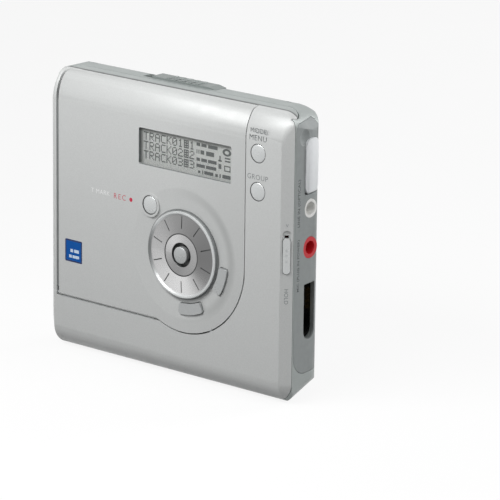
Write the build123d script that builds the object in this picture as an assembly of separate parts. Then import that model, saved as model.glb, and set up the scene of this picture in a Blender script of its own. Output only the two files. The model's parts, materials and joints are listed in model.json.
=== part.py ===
from build123d import *
import math
import os

# Portable disc player, standing upright. All sizes are in millimetres.
# X runs along the width, Y from the front face (y = 0) to the back, Z upwards from the base.
# Each saved piece is moved forward by half the depth, so the origin is the middle of the base.

# Case
WIDTH = 87.0
HEIGHT = 79.0
DEPTH = 18.8
WALL = 1.2
BEVEL_X = 2.5
BEVEL_Y = 2.3
RIGHT_DRAFT = 6.0
LEFT_DRAFT = 1.0
TOE_R = 6.4
HEEL_R = 2.0
BACK_TOP_R = 5.0
BROW_R = 11.3
BROW_SMALL_R = 2.7
BROW_TURN = 38.0
BROW_START_Z = 71.0
REAR_RIGHT_R = 9.0
REAR_LEFT_R = 4.5
CORNER_LEFT_R = 2.5
CORNER_RIGHT_FRONT_R = 2.0
CORNER_RIGHT_REAR_R = 14.5
PARTING_Y = 2.45
TOP_LIP_Y = 9.8
BOTTOM_LIP_Y = 8.4
SHUT_GAP = 0.2
SHUT_DEPTH = 0.5
INNER_RIGHT_X = 40.6

# Lid
LID_LEFT = -39.1
LID_RIGHT = 28.6
LID_BACK_Y = 5.5
FRAME_LEFT = -40.0
FRAME_RIGHT = 28.85
FRAME_BACK_Y = 5.8
HINGE_Y = 0.6
HINGE_Z = 15.85
HINGE_R = 0.6
HINGE_PIN_R = 0.35
LID_LEDGE = 0.65
LID_CORNER_LEFT_R = 4.3
LID_CORNER_RIGHT_R = 1.2
LID_SCREWS = ((-34.0, 22.0), (-34.0, 69.0), (-13.0, 69.0), (-20.0, 50.0), (24.0, 50.0))
LID_BOARD_Y = 2.9
SWELL_R = 21.7
SWELL_GAP = 0.4
RUNNING = 0.05

# Dial and controls
DIAL_X = 6.89
DIAL_Z = 35.33
DIAL_R = 12.04
HUB_R = 5.71
HUB_HOLE_R = 3.4
KNOB_R = 2.3
TICKS = 10
DISH_INNER_R, DISH_OUTER_R, DISH_DEPTH = 13.0, 18.2, 0.45
BUTTON_GAP = 0.2
BUTTON_TRAVEL = 0.4
REC_X, REC_Z, REC_R = -5.05, 47.0, 2.5
MENU_X, MENU_Z = 32.97, 67.68
GROUP_X, GROUP_Z = 32.98, 57.36
ROUND_R = 2.42
STOP_ARC = (13.6, 16.6, -94.0, -63.0)
CANCEL_ARC = (13.1, 16.0, -34.0, -5.0)
WINDOW = (-9.33, 23.70, 57.84, 67.98)
BADGE = (-36.7, -30.3, 25.5, 31.9)

# Drive and disc
DISC_X = -5.5
DISC_Z = 40.0
CHASSIS_Y = 10.6
CHASSIS_T = 0.6
HOLDER_T = 0.3
PIVOT_Y = 8.5
PIVOT_Z = 5.6
PIVOT_R = 0.6
LENS_X = -20.5
ROD_Y = 13.4
ROD_Z = 10.5
ROD_R = 0.75
ROD_POSTS = ((-41.7, -40.9), (-6.6, -5.6))
SCREW_Y = 13.7
SCREW_Z = 54.5
SCREW_R = 0.6
SCREW_POSTS = ((-41.7, -40.9), (-8.2, -7.2))
SCREW_GEAR_X = -6.8
GEAR_T = 1.2
GEAR_MODULE = 0.22
SCREW_TEETH = 20
PINION_TEETH = 12
MOTOR_Z = SCREW_Z + GEAR_MODULE * (SCREW_TEETH + PINION_TEETH) / 2

# Inside the case
SMALL_SIDES = 8
HEAD_SIDES = 20
BOSS_R = 2.0
FRAME_BOSSES = ((33.5, 8.0), (33.5, 74.5))
FRAME_BOSS_BACK = 8.0
CASE_BOSSES = ((-37.5, 24.5), (26.0, 24.5), (-37.5, 73.0), (26.0, 73.0))
CASE_BOSS_FRONT = 13.2
CASE_SCREW_SEAT = 17.5
BATTERY = (-40.0, 26.0, 11.3, 17.0, 4.2, 20.8)
DOOR = (9.6, 17.55, 3.6, 21.4)
DOOR_HINGE_X = -WIDTH / 2 + 0.75
DOOR_HINGE_Y = 10.2
SLIDE = (-17.9, 8.4, 11.0, 15.7)
SLIDE_LEFT = -14.6
SLIDE_RIBS, SLIDE_RIB_X, SLIDE_RIB_PITCH = 5, -9.0, 2.62
HOLD_LOW, HOLD_HIGH = 36.5, 46.2
PANEL_FRONT_Y = 3.2
PANEL_BACK_Y = 15.0
PANEL_LOW, PANEL_HIGH = 7.7, 76.4

# Sockets on the right side
JACK_Y = 10.2
LINE_Z = 52.7
MIC_Z = 42.0
JACK_R = 1.8
LINE_RING_R, MIC_RING_R = 2.54, 2.9
CAP_Y, CAP_Z = 10.6, 64.2
CAP_WIDTH, CAP_LENGTH, CAP_R = 6.2, 15.1, 2.5
CAP_HINGE_X, CAP_HINGE_Z = 41.95, 57.9
CAP_HINGE_R = 0.8
CAP_HINGE_TURN = 9.6
SLOT_Y, SLOT_W = 10.55, 5.5
SLOT_BOTTOM, SLOT_TOP = 16.6, 32.2


def box(x0, x1, y0, y1, z0, z1):
    """Block between two corners."""
    return Pos((x0 + x1) / 2, (y0 + y1) / 2, (z0 + z1) / 2) * Box(x1 - x0, y1 - y0, z1 - z0)


def rod_x(x0, x1, y, z, radius):
    return Pos((x0 + x1) / 2, y, z) * Rot(0, 90, 0) * Cylinder(radius, x1 - x0)


def rod_y(x, z, y0, y1, radius):
    return Pos(x, (y0 + y1) / 2, z) * Rot(90, 0, 0) * Cylinder(radius, y1 - y0)


def rod_z(x, y, z0, z1, radius):
    return Pos(x, y, (z0 + z1) / 2) * Cylinder(radius, z1 - z0)


def post_y(x, z, y0, y1, radius, sides=SMALL_SIDES):
    """Small post or hole with flat sides, its sides no nearer to the axis than the radius."""
    face = Pos(x, z) * RegularPolygon(radius, sides, major_radius=False)
    return prism_y(face, y0, y1)


def post_x(x0, x1, y, z, radius, sides=SMALL_SIDES):
    face = Pos(y, z) * RegularPolygon(radius, sides, major_radius=False)
    return prism_x(face, x0, x1)


def upright(y):
    """Plane facing the front at depth y, with sketch x along X and sketch y along Z."""
    return Plane(origin=(0, y, 0), x_dir=(1, 0, 0), z_dir=(0, -1, 0))


def prism_y(sketch, y0, y1):
    """Front view outline carried from depth y0 to y1."""
    return extrude(upright(y1) * sketch, amount=y1 - y0)


def across(x):
    """Plane square to X, with sketch x along Y and sketch y along Z."""
    return Plane(origin=(x, 0, 0), x_dir=(0, 1, 0), z_dir=(1, 0, 0))


def prism_x(sketch, x0, x1):
    """Side view outline carried from x0 to x1."""
    return extrude(across(x0) * sketch, amount=x1 - x0)


def arc_about(centre, radius, start, end):
    """Arc about a centre from one angle to another, in degrees."""
    points = []
    for angle in (start, (start + end) / 2, end):
        a = math.radians(angle)
        points.append((centre[0] + radius * math.cos(a), centre[1] + radius * math.sin(a)))
    return ThreePointArc(*points)


def joined(edges):
    """Face inside a loop of arcs, with straight lines added where two of them don't meet."""
    loop = []
    for index, edge in enumerate(edges):
        following = edges[(index + 1) % len(edges)]
        loop.append(edge)
        if (edge @ 1 - following @ 0).length > 1e-6:
            loop.append(Line(edge @ 1, following @ 0))
    return make_face(loop)


def side_section(front, brow_r, brow_small_r, turn, toe_r, inset):
    """Section of the case square to X: toe, heel, back and the brow that rolls over to the top."""
    cos, sin = math.cos(math.radians(turn)), math.sin(math.radians(turn))
    small = (front + brow_r - (brow_r - brow_small_r) * cos, HEIGHT - brow_small_r)
    big = (front + brow_r, small[1] - (brow_r - brow_small_r) * sin)
    return joined([
        arc_about((front + toe_r, toe_r), toe_r - inset, 180, 270),
        arc_about((DEPTH - HEEL_R, HEEL_R), HEEL_R - inset, -90, 0),
        arc_about((DEPTH - BACK_TOP_R, HEIGHT - BACK_TOP_R), BACK_TOP_R - inset, 0, 90),
        arc_about(small, brow_small_r - inset, 90, 180 - turn),
        arc_about(big, brow_r - inset, 180 - turn, 180),
    ])


def length_shape(inset):
    """Case along its length: one section throughout, and a bevel at each end."""
    middle = side_section(0, BROW_R, BROW_SMALL_R, BROW_TURN, TOE_R, inset)
    left = side_section(BEVEL_Y, 9.5, 7.5, 45.0, 9.0, inset)
    right = side_section(BEVEL_Y, 2.9, 2.5, 45.0, TOE_R, inset)
    end = WIDTH / 2 - inset
    shoulder = WIDTH / 2 - BEVEL_X - 0.4 * inset
    stations = [(-end, left), (-shoulder, middle), (shoulder, middle), (end, right)]
    return loft([across(x) * section for x, section in stations], ruled=True)


def plan_shape(inset):
    """Plan of the case: drafted ends and the two rounded rear edges."""
    front = -1.0
    back = DEPTH - inset
    half = WIDTH / 2 - inset
    right_slope = math.tan(math.radians(RIGHT_DRAFT))
    left_slope = math.tan(math.radians(LEFT_DRAFT))
    corners = [
        (-half - left_slope * (BEVEL_Y - front), front),
        (half + right_slope * (BEVEL_Y - front), front),
        (half - right_slope * (back - BEVEL_Y), back),
        (-half + left_slope * (back - BEVEL_Y), back),
    ]
    face = make_face(Polyline(*corners, close=True))
    rear = face.vertices().group_by(Axis.Y)[-1].sort_by(Axis.X)
    face = fillet(rear[0], REAR_LEFT_R - inset)
    rear = face.vertices().group_by(Axis.Y)[-1].sort_by(Axis.X)
    face = fillet(rear[-1], REAR_RIGHT_R - inset)
    return extrude(Pos(0, 0, -1) * face, amount=HEIGHT + 2)


def front_view(right_r, inset):
    """Front view outline of the case with its corner radii."""
    left, right = -WIDTH / 2 + inset, WIDTH / 2 - inset
    low, high = inset, HEIGHT - inset
    left_r = CORNER_LEFT_R - inset
    right_r = right_r - inset
    return joined([
        arc_about((left + left_r, high - left_r), left_r, 90, 180),
        arc_about((left + left_r, low + left_r), left_r, 180, 270),
        arc_about((right - right_r, low + right_r), right_r, -90, 0),
        arc_about((right - right_r, high - right_r), right_r, 0, 90),
    ])


def case_solid(inset):
    """Whole case as one block, its faces moved in by inset."""
    front = upright(0) * front_view(CORNER_RIGHT_FRONT_R, inset)
    rear = upright(DEPTH) * front_view(CORNER_RIGHT_REAR_R, inset)
    corners = loft([front, rear], ruled=True)
    return length_shape(inset) & plan_shape(inset) & corners


def domed_button(x, z, top, base, radius, crown):
    """Round cap with a crowned front face, seen from the front."""
    sphere_r = (radius * radius + crown * crown) / (2 * crown)
    dome = Pos(x, top + sphere_r, z) * Sphere(sphere_r)
    return rod_y(x, z, top, base, radius) & dome


def lid_outline(left, right, low, swell_r, high=HEIGHT + 1):
    """Front view of the lid: straight lower edge, with a round swell about the dial."""
    middle = Pos((left + DIAL_X) / 2, (low + high) / 2) * Rectangle(DIAL_X - left, high - low)
    upper = Pos((DIAL_X + right) / 2, (DIAL_Z + high) / 2) * Rectangle(right - DIAL_X, high - DIAL_Z)
    swell = Pos(DIAL_X, DIAL_Z) * Circle(swell_r)
    return middle + upper + swell


def arc_sector(inner, outer, start, end):
    """Part of a ring about the dial's axis."""
    centre = (DIAL_X, DIAL_Z)
    return joined([arc_about(centre, outer, start, end), arc_about(centre, inner, end, start)])


def arc_slot(inner, outer, start, end, grow):
    """Curved slot or button beside the dial, with rounded corners."""
    turn = math.degrees(grow / ((inner + outer) / 2))
    face = arc_sector(inner - grow, outer + grow, start - turn, end + turn)
    return fillet(face.vertices(), 0.7)


def rounded(x0, x1, z0, z1, radius):
    return Pos((x0 + x1) / 2, (z0 + z1) / 2) * RectangleRounded(x1 - x0, z1 - z0, radius)


def plain(x0, x1, z0, z1):
    return Pos((x0 + x1) / 2, (z0 + z1) / 2) * Rectangle(x1 - x0, z1 - z0)


# The case: outer block, the skin that the shut lines are cut in, the panel seat and the hollow
OUTER = case_solid(0.0)
SKIN_CORE = case_solid(SHUT_DEPTH)
PANEL_CORE = case_solid(1.0)
HOLLOW = case_solid(WALL)
CAVITY = HOLLOW & box(-WIDTH, INNER_RIGHT_X, -1, DEPTH + 1, -1, HEIGHT + 1)
SHELL = OUTER - CAVITY


def front_region(grow):
    """Space of the front frame: the face, a lip over the top and a lip under the base."""
    top_lip = Pos(0, TOP_LIP_Y / 2) * Rectangle(2 * (WIDTH / 2 - 1.5 + grow), TOP_LIP_Y + 2 * grow)
    top_lip = fillet(top_lip.vertices().group_by(Axis.Y)[-1], 7.0)
    region = box(-50, 50, -1, PARTING_Y + grow, -1, HEIGHT + 1)
    region += Pos(0, 0, HEIGHT - 2.4) * extrude(top_lip, amount=4)
    region += box(-WIDTH / 2 + 3, WIDTH / 2 - 4, 1, BOTTOM_LIP_Y + grow, -1, 4.0)
    region += box(-WIDTH / 2 + 3, WIDTH / 2 - 3, 1, 4.8, 70, HEIGHT - 1)
    return region


def bevel_plane(z):
    """Plane on the right-hand bevel: sketch x along Z, facing outwards."""
    middle_x = WIDTH / 2 - BEVEL_X / 2
    return Plane(origin=(middle_x, BEVEL_Y / 2, z), x_dir=(0, 0, 1), z_dir=(BEVEL_Y, -BEVEL_X, 0))


def on_bevel(z0, z1, half_width, low, high):
    """Block on the bevel from height z0 to z1, its depth measured from the bevel's surface."""
    local = Pos(0, 0, (low + high) / 2) * Box(z1 - z0, 2 * half_width, high - low)
    return bevel_plane((z0 + z1) / 2) * local


def pill_on_bevel(z0, z1, half_width, low, high):
    """Slot or button with round ends on the bevel."""
    face = RectangleRounded(z1 - z0, 2 * half_width, 0.98 * half_width)
    return bevel_plane((z0 + z1) / 2) * Pos(0, 0, low) * extrude(face, amount=high - low)


def lid_plan(left, right, back, left_r, right_r):
    """Plan of the lid, with the two corners of its top flange rounded."""
    face = plain(left, right, -1, back)
    rear = face.vertices().group_by(Axis.Y)[-1].sort_by(Axis.X)
    face = fillet(rear[0], left_r)
    rear = face.vertices().group_by(Axis.Y)[-1].sort_by(Axis.X)
    return extrude(fillet(rear[-1], right_r), amount=HEIGHT + 1)


def front_frame():
    frame = SHELL & front_region(0)
    opening = lid_outline(FRAME_LEFT, FRAME_RIGHT, HINGE_Z - HINGE_R - 0.25, SWELL_R + SWELL_GAP)
    room = lid_plan(FRAME_LEFT, FRAME_RIGHT, FRAME_BACK_Y, LID_CORNER_LEFT_R + 0.7, LID_CORNER_RIGHT_R + 0.3)
    frame -= prism_y(opening, -1, FRAME_BACK_Y) & room
    for x, z in ((MENU_X, MENU_Z), (GROUP_X, GROUP_Z)):
        frame -= rod_y(x, z, -1, 3, ROUND_R + BUTTON_GAP)
    frame -= pill_on_bevel(HOLD_LOW - 0.3, HOLD_HIGH + 2.0, 1.15, -0.5, 1)
    frame -= on_bevel(HOLD_LOW + 1.1, HOLD_HIGH + 0.6, 0.55, -4, 1)
    frame += box(-41.9, FRAME_LEFT, WALL - 0.1, PARTING_Y, 14.4, 17.4)
    for x0, x1 in ((-41.4, FRAME_LEFT + 0.1), (16.6, 18.4)):
        frame -= post_x(x0, x1, HINGE_Y, HINGE_Z, HINGE_PIN_R)
    for x, z in FRAME_BOSSES:
        frame += post_y(x, z, WALL - 0.1, FRAME_BOSS_BACK, BOSS_R) & OUTER
        frame -= post_y(x, z, PARTING_Y + 0.5, FRAME_BOSS_BACK + 1, 0.6)
    return frame


def panel_outline(grow):
    """Side view of the dark panel: straight front, round foot, top under the case's edge."""
    front, back = PANEL_FRONT_Y - grow, PANEL_BACK_Y + grow
    low, high = PANEL_LOW - grow, PANEL_HIGH + grow
    face = Pos((front + back) / 2, (low + high) / 2) * Rectangle(back - front, high - low)
    lower = face.vertices().group_by(Axis.Y)[0].sort_by(Axis.X)
    face = fillet(lower[0], 5.5)
    upper = face.vertices().group_by(Axis.Y)[-1].sort_by(Axis.X)
    return fillet(upper, 2.0)


def slot_outline(grow):
    """Side view of the remote socket: square top and a round lower end."""
    width = SLOT_W + 2 * grow
    top = SLOT_TOP + grow
    centre_z = SLOT_BOTTOM + SLOT_W / 2
    face = Pos(SLOT_Y, (centre_z + top) / 2) * Rectangle(width, top - centre_z)
    return face + Pos(SLOT_Y, centre_z) * Circle(width / 2)


def cap_outline(grow, foot_r):
    """Side view of the port cap, with its own radius at the foot."""
    half_width, half_length = CAP_WIDTH / 2 + grow, CAP_LENGTH / 2 + grow
    face = Pos(CAP_Y, CAP_Z) * Rectangle(2 * half_width, 2 * half_length)
    for corner in face.vertices().group_by(Axis.Y)[-1]:
        face = fillet(face.vertices().sort_by_distance(corner)[0], CAP_R + grow)
    for corner in face.vertices().group_by(Axis.Y)[0]:
        face = fillet(face.vertices().sort_by_distance(corner)[0], foot_r)
    return face


def side_holes(x0, x1, cut_jack):
    """Everything that passes through the right-hand wall."""
    holes = cut_jack(x0, x1, JACK_Y, LINE_Z, LINE_RING_R + 0.06)
    holes += cut_jack(x0, x1, JACK_Y, MIC_Z, MIC_RING_R + 0.08)
    holes += prism_x(slot_outline(0), x0, x1)
    holes += prism_x(cap_outline(0.1, 1.0), x0, x1)
    return holes


def rear_cover():
    cover = SHELL - front_region(0)
    rim = (OUTER - SKIN_CORE) & front_region(SHUT_GAP)
    cover -= rim
    pocket = OUTER - PANEL_CORE
    pocket &= prism_x(panel_outline(0.1), 36, 46)
    cover -= pocket
    cover -= side_holes(39, 46, post_x)
    cover -= box(SLIDE[0], SLIDE[1], SLIDE[2], SLIDE[3], 76, 80)
    for x in (-39.0, 31.0):
        cover -= box(x - 1.0, x + 1.0, 14.2, 15.0, 77, 80)
    door_y0, door_y1, door_z0, door_z1 = DOOR
    cover -= box(-50, -40.5, door_y0 - 0.15, door_y1 + 0.15, door_z0 - 0.15, door_z1 + 0.15)
    for x, z in CASE_BOSSES:
        cover += post_y(x, z, CASE_BOSS_FRONT, DEPTH - WALL + 0.1, BOSS_R)
        cover -= post_y(x, z, CASE_BOSS_FRONT - 1, 16.8, 0.7)
    for x, z in FRAME_BOSSES:
        cover += post_y(x, z, FRAME_BOSS_BACK, DEPTH - WALL + 0.1, BOSS_R)
        cover -= post_y(x, z, FRAME_BOSS_BACK - 1, DEPTH + 1, 0.65)
        cover -= post_y(x, z, CASE_SCREW_SEAT, DEPTH + 1, 1.5, HEAD_SIDES)
    cover += box(-41.8, 27.4, 11.3, DEPTH - WALL + 0.1, 21.45, 22.2)
    cover -= on_bevel(36.0, 48.5, 1.6, -4.6, -1.2)
    stub_hole = Pos(DOOR_HINGE_X, DOOR_HINGE_Y) * RegularPolygon(0.38, SMALL_SIDES, major_radius=False)
    cover -= extrude(Pos(0, 0, door_z0 - 1.0) * stub_hole, amount=door_z1 - door_z0 + 2.0)
    return cover


def battery_door():
    """Curved flap on the left end, with a barrel edge and a pin stub at each end of it."""
    y0, y1, z0, z1 = DOOR
    door = (OUTER - HOLLOW) & box(-50, -40.5, DOOR_HINGE_Y, y1, z0, z1)
    door += rod_z(DOOR_HINGE_X, DOOR_HINGE_Y, z0, z1, 0.6)
    door += rod_z(DOOR_HINGE_X, DOOR_HINGE_Y, z0 - 0.8, z1 + 0.8, 0.33)
    return door


def side_panel():
    panel = (OUTER - PANEL_CORE) & prism_x(panel_outline(0), 36, 46)
    panel -= side_holes(39, 46, rod_x)
    groove = Pos(46.4, 7.4, 72.4) * Sphere(4.1)
    return panel - groove


def lid_plate():
    outline = lid_outline(LID_LEFT, LID_RIGHT, HINGE_Z, SWELL_R)
    plate = (OUTER - HOLLOW) & prism_y(outline, -1, LID_BACK_Y)
    plate &= lid_plan(LID_LEFT, LID_RIGHT, LID_BACK_Y, LID_CORNER_LEFT_R, LID_CORNER_RIGHT_R)
    plate += box(LID_LEFT - LID_LEDGE, LID_LEFT + 0.1, LID_LEDGE, WALL, HINGE_Z + 1.0, BROW_START_Z)
    plate += rod_x(LID_LEFT, 0.0, HINGE_Y, HINGE_Z, HINGE_R)
    x0, x1, z0, z1 = WINDOW
    plate -= prism_y(rounded(x0, x1, z0, z1, 0.5), -1, 3)
    plate -= prism_y(plain(x0 - 1.1, x1 + 1.1, z0 - 1.1, z1 + 1.1), 0.8, 3)
    plate -= rod_y(DIAL_X, DIAL_Z, -1, 3, DIAL_R + 0.3)
    plate -= dish()
    plate += rod_y(REC_X, REC_Z, -0.15, WALL, REC_R + 0.8)
    plate -= rod_y(REC_X, REC_Z, -1, 3, REC_R + BUTTON_GAP)
    plate -= prism_y(arc_slot(*STOP_ARC, BUTTON_GAP), -1, 3)
    plate -= prism_y(arc_slot(*CANCEL_ARC, BUTTON_GAP), -1, 3)
    plate -= prism_y(rounded(BADGE[0], BADGE[1], BADGE[2], BADGE[3], 0.3), -1, 0.3)
    for x0, x1 in ((LID_LEFT - 1, -37.0), (14.4, 18.0)):
        plate -= post_x(x0, x1, HINGE_Y, HINGE_Z, HINGE_PIN_R + RUNNING)
    return plate


def dish():
    """Shallow cone about the dial that the finger runs in."""
    cone = Rot(90, 0, 0) * Cone(DISH_INNER_R, DISH_OUTER_R, DISH_DEPTH)
    return Pos(DIAL_X, DISH_DEPTH / 2, DIAL_Z) * cone


def key_foot(inner, outer, start, end):
    """Middle of a curved key, where its foot stands over the switch."""
    angle = math.radians((start + end) / 2)
    middle = (inner + outer) / 2
    return DIAL_X + middle * math.cos(angle), DIAL_Z + middle * math.sin(angle)


def lid_inner_frame():
    """Moulded carrier behind the lid plate, open behind the keys and the display."""
    outline = lid_outline(LID_LEFT + 1.2, LID_RIGHT - 1.2, 18.6, SWELL_R - 2.0, 71.2)
    outline -= plain(-60, 60, 0, 18.6)
    frame = prism_y(outline, 2.2, 2.6)
    x0, x1, z0, z1 = WINDOW
    frame -= prism_y(plain(x0 - 1.6, x1 + 1.6, z0 - 1.6, z1 + 1.6), 0, 3)
    for x, z in SWITCHES:
        frame -= post_y(x, z, 0, 3, 2.0)
    for x, z in LID_SCREWS:
        frame += post_y(x, z, WALL, LID_BOARD_Y, 1.5)
        frame -= post_y(x, z, 1.5, 3.5, 0.5)
    return frame


def lid_board():
    """Circuit board of the lid, with a switch behind each key."""
    outline = lid_outline(LID_LEFT + 2.0, LID_RIGHT - 2.0, 19.4, SWELL_R - 3.0, 74.0)
    outline -= plain(-60, 60, 0, 19.4)
    board = prism_y(outline, LID_BOARD_Y, LID_BOARD_Y + 0.6)
    for x, z in LID_SCREWS:
        board -= post_y(x, z, 2, 4, 0.7)
    for x, z in SWITCHES:
        board += post_y(x, z, LID_BOARD_Y - 0.4, LID_BOARD_Y, 1.1)
    return board


SWITCHES = ((REC_X, REC_Z), (DIAL_X, DIAL_Z), key_foot(*STOP_ARC), key_foot(*CANCEL_ARC))


def screws(places, under, tip, head_r, shank_r, head_t):
    """Row of pan-head screws along Y, each with a driver recess."""
    top = under + head_t if under > tip else under - head_t
    solids = []
    for x, z in places:
        head = post_y(x, z, min(under, top), max(under, top), head_r)
        head -= post_y(x, z, top - head_t / 2, top + head_t / 2, head_r * 0.45)
        solids.append(head + post_y(x, z, min(under, tip), max(under, tip), shank_r))
    return Compound(solids)


def case_screws():
    """Round-headed screws sunk in the back, down into the front frame's bosses."""
    solids = []
    for x, z in FRAME_BOSSES:
        head = post_y(x, z, CASE_SCREW_SEAT, DEPTH - 0.35, 1.35, HEAD_SIDES)
        head -= box(x - 0.9, x + 0.9, DEPTH - 0.8, DEPTH, z - 0.16, z + 0.16)
        head -= box(x - 0.16, x + 0.16, DEPTH - 0.8, DEPTH, z - 0.9, z + 0.9)
        solids.append(head + post_y(x, z, PARTING_Y + 2, CASE_SCREW_SEAT, 0.55))
    return Compound(solids)


def lcd_window():
    x0, x1, z0, z1 = WINDOW
    return prism_y(rounded(x0 - 1.0, x1 + 1.0, z0 - 1.0, z1 + 1.0, 0.8), 0.8, 1.5)


def lcd_panel():
    x0, x1, z0, z1 = WINDOW
    panel = prism_y(plain(x0 - 1.4, x1 + 1.4, z0 - 1.4, z1 + 1.4), 1.5, 2.5)
    panel += prism_y(plain(x0, x1 - 6, z0 - 1.4, z1 - 6), 2.5, 2.9)
    return panel


def lid_catch():
    """Steel hook under the lid's upper flange."""
    plate = box(-9.0, -2.0, 4.6, 5.4, 76.9, 77.8)
    plate += box(-9.0, -2.0, 4.6, 7.9, 76.9, 77.3)
    return plate + box(-9.0, -2.0, 7.4, 7.9, 76.3, 77.3)


def hinge_pins():
    """Pins at the two ends of the lid's hinge barrel."""
    return Compound([rod_x(x0, x1, HINGE_Y, HINGE_Z, HINGE_PIN_R) for x0, x1 in ((-41.4, -37.2), (14.6, 18.4))])


def badge_plate():
    return prism_y(rounded(BADGE[0] + 0.05, BADGE[1] - 0.05, BADGE[2] + 0.05, BADGE[3] - 0.05, 0.3), 0.0, 0.3)


def dial_hub():
    hub = rod_y(DIAL_X, DIAL_Z, -0.7, 1.9, HUB_R)
    hub += post_y(DIAL_X, DIAL_Z, WALL, 1.9, DIAL_R + 0.6, HEAD_SIDES)
    hub -= rod_y(DIAL_X, DIAL_Z, -2, 0.9, HUB_HOLE_R)
    hub -= post_y(DIAL_X, DIAL_Z, 0, 3, 1.25)
    return hub


def jog_dial():
    """Spun ring with a conical face, a raised rim and ten radial marks."""
    half = [(HUB_R + 0.07, 0.9), (HUB_R + 0.07, -0.75), (DIAL_R - 1.0, -0.45), (DIAL_R - 0.6, -0.9),
            (DIAL_R - 0.2, -0.9), (DIAL_R, -0.6), (DIAL_R, 0.9)]
    profile = make_face(Polyline(*half, close=True))
    ring = revolve(Plane.XY * profile, Axis.Y, 360)
    ring = Pos(DIAL_X, 0, DIAL_Z) * ring
    for k in range(TICKS):
        angle = 90 + k * 360 / TICKS
        mark = Rot(0, -angle, 0) * box(7.3, 10.7, -2.0, -0.35, -0.16, 0.16)
        ring -= Pos(DIAL_X, 0, DIAL_Z) * mark
    return ring


def enter_knob():
    knob = domed_button(DIAL_X, DIAL_Z, -1.6, 0.3, KNOB_R, 0.5)
    knob += post_y(DIAL_X, DIAL_Z, 0.2, 2.05, 1.1)
    return knob


def rec_button():
    button = domed_button(REC_X, REC_Z, -0.5, 1.3, REC_R, 0.5)
    button += post_y(REC_X, REC_Z, 1.25, 1.75, REC_R + 0.6)
    return button + post_y(REC_X, REC_Z, 1.7, 2.05, 0.9)


def arc_button(inner, outer, start, end):
    """Curved key beside the dial, with a flange behind the lid plate and a foot over its switch."""
    key = prism_y(arc_slot(inner, outer, start, end, 0), -0.4, 1.3)
    key += prism_y(arc_sector(inner + 0.1, outer + 0.6, start - 1.0, end + 1.0), 1.25, 1.75)
    x, z = key_foot(inner, outer, start, end)
    return key + post_y(x, z, 1.7, 2.05, 0.8)


def round_button(x, z):
    button = domed_button(x, z, -0.35, 1.8, ROUND_R, 0.4)
    button += post_y(x, z, 1.75, 2.3, ROUND_R + 0.6)
    return button + post_y(x, z, 2.2, 2.6, 0.9)


def strip_board():
    """Small board behind the two round buttons, on posts from the rear cover."""
    board = box(29.6, 39.6, 3.5, 4.1, 50.6, 71.8)
    for z in (MENU_Z, GROUP_Z):
        board += post_y(MENU_X, z, 3.05, 3.5, 1.5)
    return board


def hold_slider():
    """Pill-shaped slide with three dimples, on a neck and a shoe behind the bevel."""
    head = pill_on_bevel(HOLD_LOW, HOLD_HIGH, 1.0, -0.45, 0.45)
    middle = (HOLD_LOW + HOLD_HIGH) / 2
    for step in (-1, 0, 1):
        dimple = extrude(Pos(0, 0, 0.25) * RegularPolygon(0.35, SMALL_SIDES), amount=1)
        head -= bevel_plane(middle + 1.5 * step) * dimple
    head += on_bevel(HOLD_LOW + 1.4, HOLD_HIGH - 1.4, 0.45, -3.0, -0.4)
    return head + on_bevel(HOLD_LOW + 1.4, HOLD_HIGH - 1.4, 0.95, -3.5, -2.9)


def open_slider():
    """Ribbed thumb slide in the top edge, sloped at its right end, with an arm to the lid's catch."""
    x0, x1 = SLIDE_LEFT, SLIDE[1] - 0.15
    y0, y1 = SLIDE[2] + 0.15, SLIDE[3] - 0.15
    top_z = HEIGHT + 0.5
    outline = make_face(Polyline((x0, 77.2), (x0, top_z), (x1 - 2.4, top_z), (x1, HEIGHT), (x1, 77.2), close=True))
    top = prism_y(outline, y0, y1)
    for k in range(SLIDE_RIBS):
        top += rod_y(SLIDE_RIB_X + SLIDE_RIB_PITCH * k, top_z, y0, y1, 0.35)
    crown = rod_x(x0, x1, DEPTH - BACK_TOP_R, HEIGHT - BACK_TOP_R, BACK_TOP_R + 0.85)
    top &= crown + box(x0, x1, y0, DEPTH - BACK_TOP_R, 77, HEIGHT + 0.85)
    top += box(x0 + 0.4, x1, y0 - 0.9, y1, 76.9, 77.3)
    return top + box(-12.6, -10.4, 8.3, y0, 76.3, 77.3)


def cap_axis(radius):
    """Round bar along the cap's hinge, which lies along the side of the case."""
    bar = Rot(90, 0, 0) * Cylinder(radius, 2 * CAP_WIDTH)
    return Pos(CAP_HINGE_X, CAP_Y, CAP_HINGE_Z) * Rot(0, 0, CAP_HINGE_TURN) * bar


def port_cap():
    """Soft cap over the port, crowned across its width, with a hinge barrel at its foot."""
    crown = ThreePointArc((43.30, 7.4), (43.15, 10.7), (42.25, 13.8))
    plan = make_face([crown, Polyline((42.25, 13.8), (40.9, 13.8), (40.9, 7.4), (43.30, 7.4))])
    cap = prism_x(cap_outline(0, CAP_R), 40, 45) & extrude(plan, amount=HEIGHT)
    cap &= cap_axis(1.2) + box(40, 45, 0, DEPTH, CAP_HINGE_Z, HEIGHT)
    return cap - (box(40, CAP_HINGE_X, 0, DEPTH, 50, CAP_HINGE_Z + 1.0) - cap_axis(CAP_HINGE_R))


def usb_port():
    """Small rectangular port in a metal shell, set on its long edge."""
    body = box(31.5, 40.2, CAP_Y - 1.95, CAP_Y + 1.95, CAP_Z - 3.85, CAP_Z + 3.85)
    body -= box(33.0, 41.0, CAP_Y - 1.55, CAP_Y + 1.55, CAP_Z - 3.45, CAP_Z + 3.45)
    return body + box(32.9, 39.0, CAP_Y - 0.5, CAP_Y + 0.5, CAP_Z - 2.7, CAP_Z + 2.7)


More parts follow.
